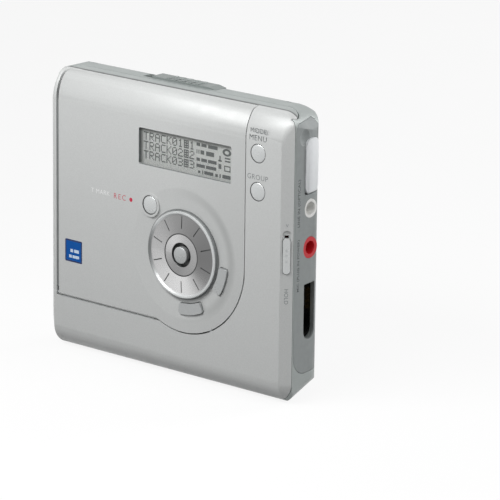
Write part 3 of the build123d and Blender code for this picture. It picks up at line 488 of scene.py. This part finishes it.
def bevel_print(z):
    """Matrix of a print on the right-hand bevel, reading downwards."""
    outward = Vector(BEVEL_OUTWARD).normalized()
    across = Vector((0, 0, -1.0))
    turn = Matrix((across, outward.cross(across), outward)).transposed().to_4x4()
    return Matrix.Translation(at(*BEVEL_MIDDLE, z)) @ turn


def block(box, depth, thick):
    """One flat block seen from the front, (x0, x1, z0, z1), about a depth."""
    x0, x1, z0, z1 = box
    bpy.ops.mesh.primitive_cube_add(size=1.0, location=at((x0 + x1) / 2, depth, (z0 + z1) / 2),
                                    scale=((x1 - x0) * MM, thick * MM, (z1 - z0) * MM))


def flat_bars(boxes, depth, thick):
    """Small flat blocks as one mesh."""
    clean_selection()
    block(boxes[0], depth, thick)
    bpy.ops.object.transform_apply(location=True, rotation=True, scale=True)
    bpy.ops.object.mode_set(mode="EDIT")
    for box in boxes[1:]:
        block(box, depth, thick)
    bpy.ops.object.mode_set(mode="OBJECT")


def joined_pieces(pieces):
    clean_selection()
    for piece in pieces:
        piece.select_set(True)
    bpy.context.view_layer.objects.active = pieces[0]
    bpy.ops.object.join()


# Settings -------------------------------------------------------------------


def colour(name, description, default):
    return FloatVectorProperty(name=name, description=description, default=default,
                               subtype="COLOR", min=0, max=1)


class DiscPlayerColours(bpy.types.PropertyGroup):
    silver: colour("Silver", "Painted front and lid", (0.775, 0.782, 0.779))
    cover: colour("Cover", "Rear cover and top strip", (0.610, 0.634, 0.628))
    panel: colour("Side panel", "Dark panel round the sockets", (0.600, 0.618, 0.618))
    key: colour("Keys", "Round and curved keys", (0.790, 0.800, 0.800))
    cap: colour("Port cap", "Soft cap on the side", (0.930, 0.940, 0.948))
    display: colour("Display", "Unlit display", (0.890, 0.898, 0.888))
    segment: colour("Segments", "Dark dots of the display", (0.180, 0.200, 0.200))
    badge: colour("Badge", "Field of the small badge", (0.030, 0.330, 0.640))
    legend: colour("Legends", "Printed words beside the keys", (0.420, 0.435, 0.440))
    record: colour("Record mark", "Red print by the record key", (0.740, 0.150, 0.260))


class DiscPlayerSizes(bpy.types.PropertyGroup):
    edge: FloatProperty(name="Edge radius", description="Softened edge of the shells", default=0.00014,
                        subtype="DISTANCE", unit="LENGTH", min=0.0)
    fine_edge: FloatProperty(name="Fine edge", description="Softened edge of the small pieces",
                             default=0.00007, subtype="DISTANCE", unit="LENGTH", min=0.0)
    dot: FloatProperty(name="Display dot", description="Pitch of the display's dots", default=0.000325,
                       subtype="DISTANCE", unit="LENGTH", min=0.0001)
    legend: FloatProperty(name="Legend size", description="Height of the printed words", default=0.0021,
                          subtype="DISTANCE", unit="LENGTH", min=0.0005)
    edge_steps: IntProperty(name="Edge steps", description="Facets across a softened edge",
                            default=2, min=1, max=4)


class DiscPlayerStudio(bpy.types.PropertyGroup):
    sky: FloatProperty(name="Room light", description="Level of the even light", default=0.23, min=0.0)
    key: FloatProperty(name="Key lamp", description="Power of the lamp above the front",
                       default=0.49, unit="POWER")
    side: FloatProperty(name="Side lamp", description="Power of the lamp on the right",
                        default=0.32, unit="POWER")
    back: FloatProperty(name="Back lamp", description="Power of the lamp behind", default=2.2, unit="POWER")
    floor: FloatProperty(name="Floor white", description="How far the floor is washed to white", default=0.85,
                         min=0.0, max=1.0, subtype="FACTOR")


# Shells and fittings --------------------------------------------------------

SHELLS = ("front_frame", "rear_cover", "lid_plate", "battery_door", "side_panel", "port_cap")
FINE = ("dial_hub", "enter_knob", "rec_button", "stop_button", "cancel_button", "menu_button", "group_button",
        "hold_slider", "open_slider", "badge_plate", "line_socket", "mic_socket", "remote_socket")
WELD_REACH = 0.000001
SOFTENED_ANGLE = math.radians(34)
KEY_TONE = -0.10
SLIDER_TONE = -0.10


def soften(piece, width, steps):
    """Rounded edges on a node whose vertices stay as they are."""
    weld = piece.modifiers.new("weld", "WELD")
    weld.merge_threshold = WELD_REACH
    bevel = piece.modifiers.new("edges", "BEVEL")
    bevel.width = width
    bevel.segments = steps
    bevel.limit_method = "ANGLE"
    bevel.angle_limit = SOFTENED_ANGLE
    bevel.harden_normals = True


class DISCPLAYER_OT_finishes(bpy.types.Operator):
    """Give every piece its finish and soften the edges of the mouldings"""

    bl_idname = "discplayer.finishes"
    bl_label = "Finish the pieces"

    def execute(self, context):
        colours = context.scene.disc_player_colours
        sizes = context.scene.disc_player_sizes
        slots = {row["node"]: row["material_slot"] for row in frame["record"]["subparts"]}
        made = {}
        for node, piece in sorted(frame["nodes"].items()):
            slot = slots[node]
            if slot not in made:
                made[slot] = finish_of(slot, colours)
            piece.data.materials.clear()
            piece.data.materials.append(made[slot])
        dull = satin_metal("dull_key", shade(colours.key, KEY_TONE), metal=0.3, low=0.26, high=0.36)
        own = {
            "front_frame": frame_silver(colours.silver, colours.cover),
            "lid_plate": lid_silver(colours.silver),
            "dial_hub": spun_metal("spun_hub", at(DIAL[0], 0, DIAL[1]), HUB_PAINTED_SHADING),
            "stop_button": dull,
            "cancel_button": dull,
            "enter_knob": dull,
            "open_slider": satin_metal("slider_grey", shade(colours.cover, SLIDER_TONE),
                                       metal=0.25, low=0.38, high=0.5),
        }
        for node, material in own.items():
            frame["nodes"][node].data.materials.clear()
            frame["nodes"][node].data.materials.append(material)
        for node in SHELLS:
            soften(frame["nodes"][node], sizes.edge, sizes.edge_steps)
        for node in FINE:
            soften(frame["nodes"][node], sizes.fine_edge, sizes.edge_steps)
        return {"FINISHED"}


# Display --------------------------------------------------------------------

GLYPHS = {
    "T": ("11111", "00100", "00100", "00100", "00100", "00100", "00100"),
    "R": ("11110", "10001", "10001", "11110", "10100", "10010", "10001"),
    "A": ("01110", "10001", "10001", "11111", "10001", "10001", "10001"),
    "C": ("01111", "10000", "10000", "10000", "10000", "10000", "01111"),
    "K": ("10001", "10010", "10100", "11000", "10100", "10010", "10001"),
    "0": ("01110", "10001", "10011", "10101", "11001", "10001", "01110"),
    "1": ("00100", "01100", "00100", "00100", "00100", "00100", "01110"),
    "2": ("01110", "10001", "00001", "00110", "01000", "10000", "11111"),
    "3": ("11110", "00001", "00001", "01110", "00001", "00001", "11110"),
    "#": ("11111", "10101", "11111", "10101", "11111", "10101", "11111"),
}
LINES = ("TRACK01#1", "TRACK02#2", "TRACK03#3")
TEXT_LEFT, TEXT_TOP = -8.8, 66.7
SYMBOL_SHIFT, SYMBOL_DROP = -1.0, 0.2
LINE_STEP = 2.62
CELL_DOTS = 6
DOT_FILL = 0.98
DOT_STRETCH = 1.06
DOT_RISE, DOT_THICK = 0.02, 0.03
DISC_MARK = (21.9, 65.6)
# Painted shade on the walls of the display's opening: depth, thickness and wall of the grey lining
OPENING_SHADE_DEPTH, OPENING_SHADE_THICK, OPENING_SHADE_WALL = 0.43, 0.7, 0.09


def dot_boxes(pitch):
    """Every dark dot of the three lines of text."""
    dot = pitch * DOT_FILL
    boxes = []
    for row, line in enumerate(LINES):
        for column, letter in enumerate(line):
            left = TEXT_LEFT + column * CELL_DOTS * pitch * DOT_STRETCH
            top = TEXT_TOP - row * LINE_STEP
            for j, bits in enumerate(GLYPHS[letter]):
                for i, bit in enumerate(bits):
                    if bit == "1":
                        x, z = left + i * pitch * DOT_STRETCH, top - j * pitch
                        boxes.append((x, x + dot, z - dot, z))
    return boxes


SYMBOL_BARS = (
    (11.2, 12.5, 66.0, 66.9), (12.9, 14.7, 66.0, 66.9), (15.3, 18.6, 65.9, 66.9),
    (11.2, 11.5, 63.9, 65.0), (11.9, 12.2, 63.9, 65.0), (12.6, 13.9, 63.9, 65.0), (14.6, 17.4, 63.8, 65.0),
    (18.9, 20.1, 63.0, 63.4), (19.3, 19.7, 63.0, 64.6), (21.2, 23.1, 64.0, 64.4), (21.2, 23.1, 63.2, 63.6),
    (11.2, 12.4, 61.9, 62.8), (12.9, 14.9, 61.9, 62.8), (15.3, 18.3, 61.9, 62.8), (19.0, 20.0, 61.0, 62.3),
    (11.2, 14.2, 60.2, 61.1), (14.6, 18.2, 60.2, 61.1), (21.0, 23.2, 61.9, 62.2), (21.0, 23.2, 60.6, 60.9),
    (21.0, 21.3, 60.6, 62.2), (22.9, 23.2, 60.6, 62.2),
    (11.8, 12.6, 58.6, 59.3), (13.3, 13.6, 58.5, 59.6), (14.0, 17.2, 58.6, 59.5), (17.9, 18.8, 58.6, 59.4),
    (19.4, 19.8, 58.6, 59.6), (20.4, 23.3, 58.6, 59.6),
)


def symbol_boxes():
    """The symbols beside the text, moved to their place."""
    return [(x0 + SYMBOL_SHIFT, x1 + SYMBOL_SHIFT, z0 - SYMBOL_DROP, z1 - SYMBOL_DROP)
            for x0, x1, z0, z1 in SYMBOL_BARS]


class DISCPLAYER_OT_display(bpy.types.Operator):
    """Put the dark dots and symbols on the display and grey walls in its opening as painted shade"""

    bl_idname = "discplayer.display"
    bl_label = "Display"

    def execute(self, context):
        colours = context.scene.disc_player_colours
        sizes = context.scene.disc_player_sizes
        dark = ink("display_segments", colours.segment)
        depth = DISPLAY_DEPTH - DOT_RISE
        flat_bars(dot_boxes(sizes.dot / MM), depth, DOT_THICK)
        keep("display_text", dark, "lid")
        flat_bars(symbol_boxes(), depth, DOT_THICK)
        keep("display_symbols", dark, "lid")
        clean_selection()
        bpy.ops.mesh.primitive_torus_add(major_segments=32, minor_segments=8, major_radius=1.0,
                                         minor_radius=0.34, rotation=(math.radians(90), 0, 0),
                                         location=at(DISC_MARK[0] + SYMBOL_SHIFT, depth, DISC_MARK[1]))
        ring = bpy.context.object
        ring.scale = (1.15 * MM, 0.75 * MM, 0.04 * MM)
        keep("display_disc_mark", dark, "lid")
        self.shade_the_opening(colours)
        return {"FINISHED"}

    def shade_the_opening(self, colours):
        """Grey walls in the opening in front of the display, as painted shade on its recess walls."""
        clean_selection()
        block(WINDOW, OPENING_SHADE_DEPTH, OPENING_SHADE_THICK)
        piece = bpy.context.object
        bpy.ops.object.transform_apply(location=True, rotation=True, scale=True)
        bpy.ops.object.mode_set(mode="EDIT")
        mesh = bmesh.from_edit_mesh(piece.data)
        for face in mesh.faces:
            face.select_set(abs(face.normal.y) > 0.5)
        bmesh.update_edit_mesh(piece.data)
        bpy.ops.mesh.delete(type="ONLY_FACE")
        bpy.ops.object.mode_set(mode="OBJECT")
        wall = piece.modifiers.new("wall", "SOLIDIFY")
        wall.thickness = OPENING_SHADE_WALL * MM
        bpy.ops.object.modifier_apply(modifier=wall.name)
        bevel = piece.modifiers.new("edges", "BEVEL")
        bevel.width = 0.02 * MM
        bpy.ops.object.modifier_apply(modifier=bevel.name)
        keep("display_opening_shade", moulded("display_opening_shade", (0.50, 0.52, 0.52)), "lid")


# Keys and dial --------------------------------------------------------------

# The slider's ribs, and the painted shadow lines beside them on the top
RIBS, RIB_X, RIB_PITCH = 5, -9.0, 2.62
RIB_HALF, RIB_SHADOW_HALF = 0.45, 0.07
RIB_SHADOW_Z = (79.45, 79.53)
RIB_SHADOW_DEPTH, RIB_SHADOW_LENGTH = 12.3, 2.2


class DISCPLAYER_OT_gaps(bpy.types.Operator):
    """Put painted shade in the running gaps of the keys, the dial, the lid and the shells as dark rings and
    strips, and painted shadows beside the slider's ribs
    """

    bl_idname = "discplayer.gaps"
    bl_label = "Key and dial gaps"

    def execute(self, context):
        dark = moulded("painted_gap_shade", (0.22, 0.225, 0.225), low=0.55, high=0.7)
        mid = moulded("painted_dial_shade", (0.45, 0.46, 0.46), low=0.55, high=0.7)
        # Dark rings in the running gaps round the keys and the dial, as painted shade, and a ring on the lid
        # round the dial as a painted shadow
        rings = (
            ("menu_gap", MENU, ROUND_KEY_R + 0.26, 0.24, 0.02, 0.9, "case"),
            ("group_gap", GROUP, ROUND_KEY_R + 0.26, 0.24, 0.02, 0.9, "case"),
            ("record_gap", RECORD, RECORD_R + 0.19, 0.17, -0.1, 0.8, "lid"),
            ("dial_gap", DIAL, DIAL_R + 0.31, 0.26, 0.02, 0.8, "lid"),
            ("dial_shadow_ring", DIAL, DIAL_R + 0.48, 0.12, -0.012, 0.01, "lid"),
        )
        for name, (x, z), radius, wall, depth0, depth1, body in rings:
            clean_selection()
            tube_y(x, z, depth0, depth1, radius, wall)
            keep(name, mid if name.startswith("dial") else dark, body)
        # Dark ring in the gap round the hub, as painted shade
        clean_selection()
        tube_y(DIAL[0], DIAL[1], -0.765, -0.55, HUB_R + 0.26, 0.27)
        keep("hub_gap", dark, "dial")
        # Grey lining on the walls and floor of the knob's well, as painted shade in the recess
        clean_selection()
        tube_y(DIAL[0], DIAL[1], HUB_FACE + 0.05, WELL_FLOOR, WELL_R - 0.005, 0.06)
        well = bpy.context.object
        clean_selection()
        tube_y(DIAL[0], DIAL[1], WELL_FLOOR - 0.08, WELL_FLOOR, WELL_R - 0.03, 1.9)
        joined_pieces([bpy.context.object, well])
        keep("knob_well_shade", moulded("knob_well_shade", (0.30, 0.31, 0.31), low=0.3, high=0.4), "lid")
        # Grey and dark strips in the lid's side gap, the hinge gap and the side seam between the shells, as
        # painted shade
        strips = (
            ("lid_side_gap_shade", "lid", (-39.97, -39.15), (0.32, 0.8), (17.5, 70.5), (0.50, 0.51, 0.51)),
            ("hinge_gap_shade", "case", (-38.9, -3.5), (0.12, 0.5), (15.03, 15.21), (0.62, 0.63, 0.63)),
            ("side_seam_shade", "case", (43.38, 43.482), (2.43, 2.57), (4.5, 74.5), (0.36, 0.38, 0.38)),
        )
        for name, body, (x0, x1), (depth0, depth1), (z0, z1), rgb in strips:
            flat_bars(((x0, x1, z0, z1),), (depth0 + depth1) / 2, depth1 - depth0)
            keep(name, moulded(name, rgb, low=0.55, high=0.7), body)
        # Dark lines on the top beside each rib of the slider, as painted shadows
        rib_shadow_lines = [RIB_X + k * RIB_PITCH + side * RIB_HALF for k in range(RIBS) for side in (-1, 1)]
        flat_bars([(x - RIB_SHADOW_HALF, x + RIB_SHADOW_HALF, *RIB_SHADOW_Z) for x in rib_shadow_lines], RIB_SHADOW_DEPTH, RIB_SHADOW_LENGTH)
        keep("slider_rib_shadows", dark, "open")
        return {"FINISHED"}


# Dial grooves and printed marks ----------------------------------------------

TICKS = 10
TICK_FROM, TICK_TO = 7.4, 10.6
TICK_HALF = 0.155
TICK_DEPTH, TICK_THICK = -0.4, 0.1


class DISCPLAYER_OT_dial_marks(bpy.types.Operator):
    """Lay a dark line in each of the dial's grooves"""

    bl_idname = "discplayer.dial_marks"
    bl_label = "Dial marks"

    def execute(self, context):
        dark = ink("dial_mark_grey", (0.28, 0.29, 0.29))
        middle = (TICK_FROM + TICK_TO) / 2
        for number in range(TICKS):
            clean_selection()
            bpy.ops.mesh.primitive_cube_add(size=1.0, location=at(middle, TICK_DEPTH, 0) - at(0, 0, 0),
                                            scale=((TICK_TO - TICK_FROM) * MM, TICK_THICK * MM,
                                                   2 * TICK_HALF * MM))
            piece = bpy.context.object
            bpy.ops.object.transform_apply(location=True, rotation=True, scale=True)
            bevel = piece.modifiers.new("ends", "BEVEL")
            bevel.width = 0.04 * MM
            bevel.segments = 2
            bpy.ops.object.modifier_apply(modifier=bevel.name)
            angle = math.radians(90 + number * 360 / TICKS)
            piece.matrix_world = Matrix.Translation(at(DIAL[0], 0, DIAL[1])) @ Matrix.Rotation(-angle, 4, "Y")
            keep(f"dial_mark_{number}", dark, "dial")
        return {"FINISHED"}


class DISCPLAYER_OT_front_marks(bpy.types.Operator):
    """Print the generic legends of the keys on the front"""

    bl_idname = "discplayer.front_marks"
    bl_label = "Front marks"

    def execute(self, context):
        colours = context.scene.disc_player_colours
        size = context.scene.disc_player_sizes.legend / MM
        grey = ink("legend_grey", colours.legend)
        red = ink("legend_red", colours.record)
        pale = ink("legend_pale", (0.95, 0.95, 0.95))
        rows = (
            ("menu_legend", "MENU", 32.9, 71.75, size, grey, "case", 1.12),
            ("menu_legend_upper", "MODE/", 33.3, 73.75, size * 0.9, grey, "case", 1.1),
            ("group_legend", "GROUP", 32.9, 61.15, size * 0.94, grey, "case", 1.12),
            ("mark_legend", "T MARK", -23.4, 47.4, size * 0.86, pale, "lid", 1.1),
            ("record_legend", "REC", -16.2, 47.2, size * 1.02, red, "lid", 1.35),
        )
        for name, text, x, z, height, material, body, spacing in rows:
            clean_selection()
            words(text, height, front_print(x, z), spacing, -0.02)
            keep(name, material, body)
        clean_selection()
        bpy.ops.mesh.primitive_cone_add(vertices=24, radius1=0.62 * MM, radius2=0.55 * MM, depth=0.02 * MM,
                                        location=at(-12.1, -0.003, 47.2), rotation=(math.radians(90), 0, 0))
        keep("record_dot", red, "lid")
        return {"FINISHED"}


BADGE_INSET, BADGE_EDGE = 0.1, 0.42
BADGE_BARS = ((-34.7, -33.7, 28.3, 29.2), (-33.3, -31.5, 28.3, 29.2), (-35.2, -34.2, 26.7, 27.5),
              (-33.9, -31.4, 26.7, 27.5))


class DISCPLAYER_OT_badge(bpy.types.Operator):
    """Edge the small badge and give it plain bars"""

    bl_idname = "discplayer.badge"
    bl_label = "Badge"

    def execute(self, context):
        clean_selection()
        flat_bars(BADGE_BARS, -0.004, 0.02)
        keep("badge_bars", ink("badge_pale_bars", (0.80, 0.86, 0.93)), "lid")
        x0, x1, z0, z1 = BADGE
        inset, edge = BADGE_INSET, BADGE_EDGE
        clean_selection()
        flat_bars(((x0 + inset, x1 - inset, z1 - edge, z1 - inset),
                   (x0 + inset, x1 - inset, z0 + inset, z0 + edge),
                   (x0 + inset, x0 + edge, z0 + edge, z1 - edge),
                   (x1 - edge, x1 - inset, z0 + edge, z1 - edge)),
                  -0.002, 0.016)
        keep("badge_edge", ink("badge_navy_edge", (0.06, 0.11, 0.28)), "lid")
        return {"FINISHED"}


class DISCPLAYER_OT_side_marks(bpy.types.Operator):
    """Print the generic legends of the sockets and the hold switch"""

    bl_idname = "discplayer.side_marks"
    bl_label = "Side marks"

    def execute(self, context):
        colours = context.scene.disc_player_colours
        dark = ink("socket_legend", shade(colours.legend, -0.12))
        rows = (
            ("line_legend", "LINE IN (OPTICAL)", 4.9, 55.0, 1.5),
            ("mic_legend", "MIC (PLUG IN POWER)", 4.9, 38.0, 1.35),
        )
        for name, text, depth, z, height in rows:
            clean_selection()
            words(text, height, side_print(depth, z), 1.05, 0.02)
            keep(name, dark, "case")
        soft = ink("hold_legend", (0.50, 0.52, 0.53))
        clean_selection()
        words("HOLD", 1.5, bevel_print(30.2), 1.05, 0.0)
        keep("hold_legend", soft, "case")
        clean_selection()
        words(">", 1.5, bevel_print(49.6), 1.0, 0.0)
        keep("hold_arrow", soft, "case")
        return {"FINISHED"}


# Studio ---------------------------------------------------------------------

# The photograph's camera: its turn, height and roll in degrees, its distance and aim in millimetres
VIEW_YAW = 40.4046
VIEW_PITCH = 15.2894
VIEW_ROLL = 0.7160
VIEW_DISTANCE = 959.556
VIEW_AIM = (0.0, 9.0, 39.5)
VIEW_SHIFT = (-17.409, 5.771)
FOCAL_PIXELS = 3527.68
FRAME_PIXELS = 500
SENSOR_MM = 36.0
# The floor's tone where it is seen and where it lights the player, and the glow that washes it
FLOOR_SIZE = 6.0
FLOOR_SEEN = ((0.88, 0.88, 0.88), (0.89, 0.89, 0.89))
FLOOR_LIGHT = (0.52, 0.52, 0.52)
FLOOR_GLOW = 1.03


def photo_camera():
    yaw, pitch, roll = (math.radians(a) for a in (VIEW_YAW, VIEW_PITCH, VIEW_ROLL))
    back = Vector((math.sin(yaw) * math.cos(pitch), -math.cos(yaw) * math.cos(pitch), math.sin(pitch)))
    level = Vector((math.cos(yaw), math.sin(yaw), 0.0))
    rise = back.cross(level)
    right = math.cos(roll) * level + math.sin(roll) * rise
    up = -math.sin(roll) * level + math.cos(roll) * rise
    aim = at(*VIEW_AIM)
    place = aim + (back * VIEW_DISTANCE - right * VIEW_SHIFT[0] - up * VIEW_SHIFT[1]) * MM
    bpy.ops.object.camera_add(location=place)
    camera = bpy.context.object
    camera.name = "photo_camera"
    turn = Matrix((right, up, back)).transposed().to_4x4()
    camera.matrix_world = Matrix.Translation(place) @ turn
    camera.data.sensor_width = SENSOR_MM
    camera.data.lens = FOCAL_PIXELS / FRAME_PIXELS * SENSOR_MM
    camera.data.clip_start = 0.01
    bpy.context.scene.camera = camera


def soft_lamp(name, place, target, width, height, power):
    bpy.ops.object.light_add(type="AREA", location=place)
    lamp = bpy.context.object
    lamp.name = name
    lamp.data.shape = "ELLIPSE"
    lamp.data.size, lamp.data.size_y = width, height
    lamp.data.energy = power
    lamp.rotation_euler = (Vector(target) - Vector(place)).to_track_quat("-Z", "Y").to_euler()


def seen_directly(nodes, links):
    """One for what the camera, a mirror-like surface or glass shows, and zero for light on the object."""
    path = nodes.new("ShaderNodeLightPath")
    total = path.outputs["Is Camera Ray"]
    for name in ("Is Glossy Ray", "Is Transmission Ray"):
        join = nodes.new("ShaderNodeMath")
        join.operation = "MAXIMUM"
        links.new(total, join.inputs[0])
        links.new(path.outputs[name], join.inputs[1])
        total = join.outputs["Value"]
    return total


def pale_world(level):
    """Even studio light; the camera and mirror-like surfaces see white."""
    world = bpy.data.worlds.new("studio")
    bpy.context.scene.world = world
    world.use_nodes = True
    nodes, links = world.node_tree.nodes, world.node_tree.links
    background = nodes["Background"]
    background.inputs["Color"].default_value = (1.0, 1.0, 1.0, 1.0)
    mix = nodes.new("ShaderNodeMapRange")
    mix.inputs["To Min"].default_value = level
    mix.inputs["To Max"].default_value = 1.0
    links.new(seen_directly(nodes, links), mix.inputs["Value"])
    links.new(mix.outputs["Result"], background.inputs["Strength"])


def pale_floor(wash):
    """White sweep under the player, which keeps a soft shadow."""
    bpy.ops.mesh.primitive_plane_add(size=FLOOR_SIZE, location=(0, 0, 0))
    floor = bpy.context.object
    floor.name = "studio_floor"
    finish = Finish("pale_floor")
    white = finish.colours(finish.noise(0.05, 2.0), *FLOOR_SEEN)
    seen = seen_directly(finish.nodes, finish.links)
    finish.paint(finish.blend(seen, FLOOR_LIGHT, white))
    finish.rough(finish.noise(0.02, 2.0), 0.7, 0.8)
    glow = finish.nodes.new("ShaderNodeEmission")
    glow.inputs["Color"].default_value = (1.0, 1.0, 1.0, 1.0)
    glow.inputs["Strength"].default_value = FLOOR_GLOW
    share = finish.nodes.new("ShaderNodeMath")
    share.operation = "MULTIPLY"
    share.inputs[1].default_value = wash
    finish.links.new(seen, share.inputs[0])
    mix = finish.nodes.new("ShaderNodeMixShader")
    finish.links.new(share.outputs["Value"], mix.inputs["Fac"])
    finish.links.new(finish.shader.outputs["BSDF"], mix.inputs[1])
    finish.links.new(glow.outputs["Emission"], mix.inputs[2])
    finish.links.new(mix.outputs["Shader"], finish.nodes["Material Output"].inputs["Surface"])
    floor.data.materials.append(finish.material)


class DISCPLAYER_OT_studio(bpy.types.Operator):
    """Set the pale floor, the soft lamps and the camera"""

    bl_idname = "discplayer.studio"
    bl_label = "Studio"

    def execute(self, context):
        studio = context.scene.disc_player_studio
        context.scene.view_settings.view_transform = "Standard"
        clean_selection()
        pale_floor(studio.floor)
        pale_world(studio.sky)
        soft_lamp("key_lamp", (-0.02, -0.16, 0.205), (0, 0, 0.055), 0.26, 0.07, studio.key)
        soft_lamp("side_lamp", (0.32, 0.06, 0.20), (0, 0, 0.05), 0.16, 0.16, studio.side)
        soft_lamp("back_lamp", (0.25, 0.65, 0.35), (0, 0, 0.04), 0.4, 0.4, studio.back)
        photo_camera()
        return {"FINISHED"}


class DISCPLAYER_PT_panel(bpy.types.Panel):
    """Steps and settings of the disc player"""

    bl_idname = "DISCPLAYER_PT_panel"
    bl_label = "Disc player"
    bl_space_type = "VIEW_3D"
    bl_region_type = "UI"
    bl_category = "Disc player"

    def draw(self, context):
        layout = self.layout
        for name in STEPS:
            layout.operator("discplayer." + name)
        for group in (context.scene.disc_player_colours, context.scene.disc_player_sizes,
                      context.scene.disc_player_studio):
            for name in group.__annotations__:
                layout.prop(group, name)


STEPS = ("finishes", "display", "gaps", "dial_marks", "front_marks", "badge", "side_marks", "studio")
CLASSES = (
    DiscPlayerColours,
    DiscPlayerSizes,
    DiscPlayerStudio,
    DISCPLAYER_OT_finishes,
    DISCPLAYER_OT_display,
    DISCPLAYER_OT_gaps,
    DISCPLAYER_OT_dial_marks,
    DISCPLAYER_OT_front_marks,
    DISCPLAYER_OT_badge,
    DISCPLAYER_OT_side_marks,
    DISCPLAYER_OT_studio,
    DISCPLAYER_PT_panel,
)


def register():
    for cls in CLASSES:
        bpy.utils.register_class(cls)
    bpy.types.Scene.disc_player_colours = PointerProperty(type=DiscPlayerColours)
    bpy.types.Scene.disc_player_sizes = PointerProperty(type=DiscPlayerSizes)
    bpy.types.Scene.disc_player_studio = PointerProperty(type=DiscPlayerStudio)


def unregister():
    del bpy.types.Scene.disc_player_studio
    del bpy.types.Scene.disc_player_sizes
    del bpy.types.Scene.disc_player_colours
    for cls in reversed(CLASSES):
        bpy.utils.unregister_class(cls)


def main():
    register()
    for name in STEPS:
        getattr(bpy.ops.discplayer, name)()


if __name__ == "__main__":
    main()
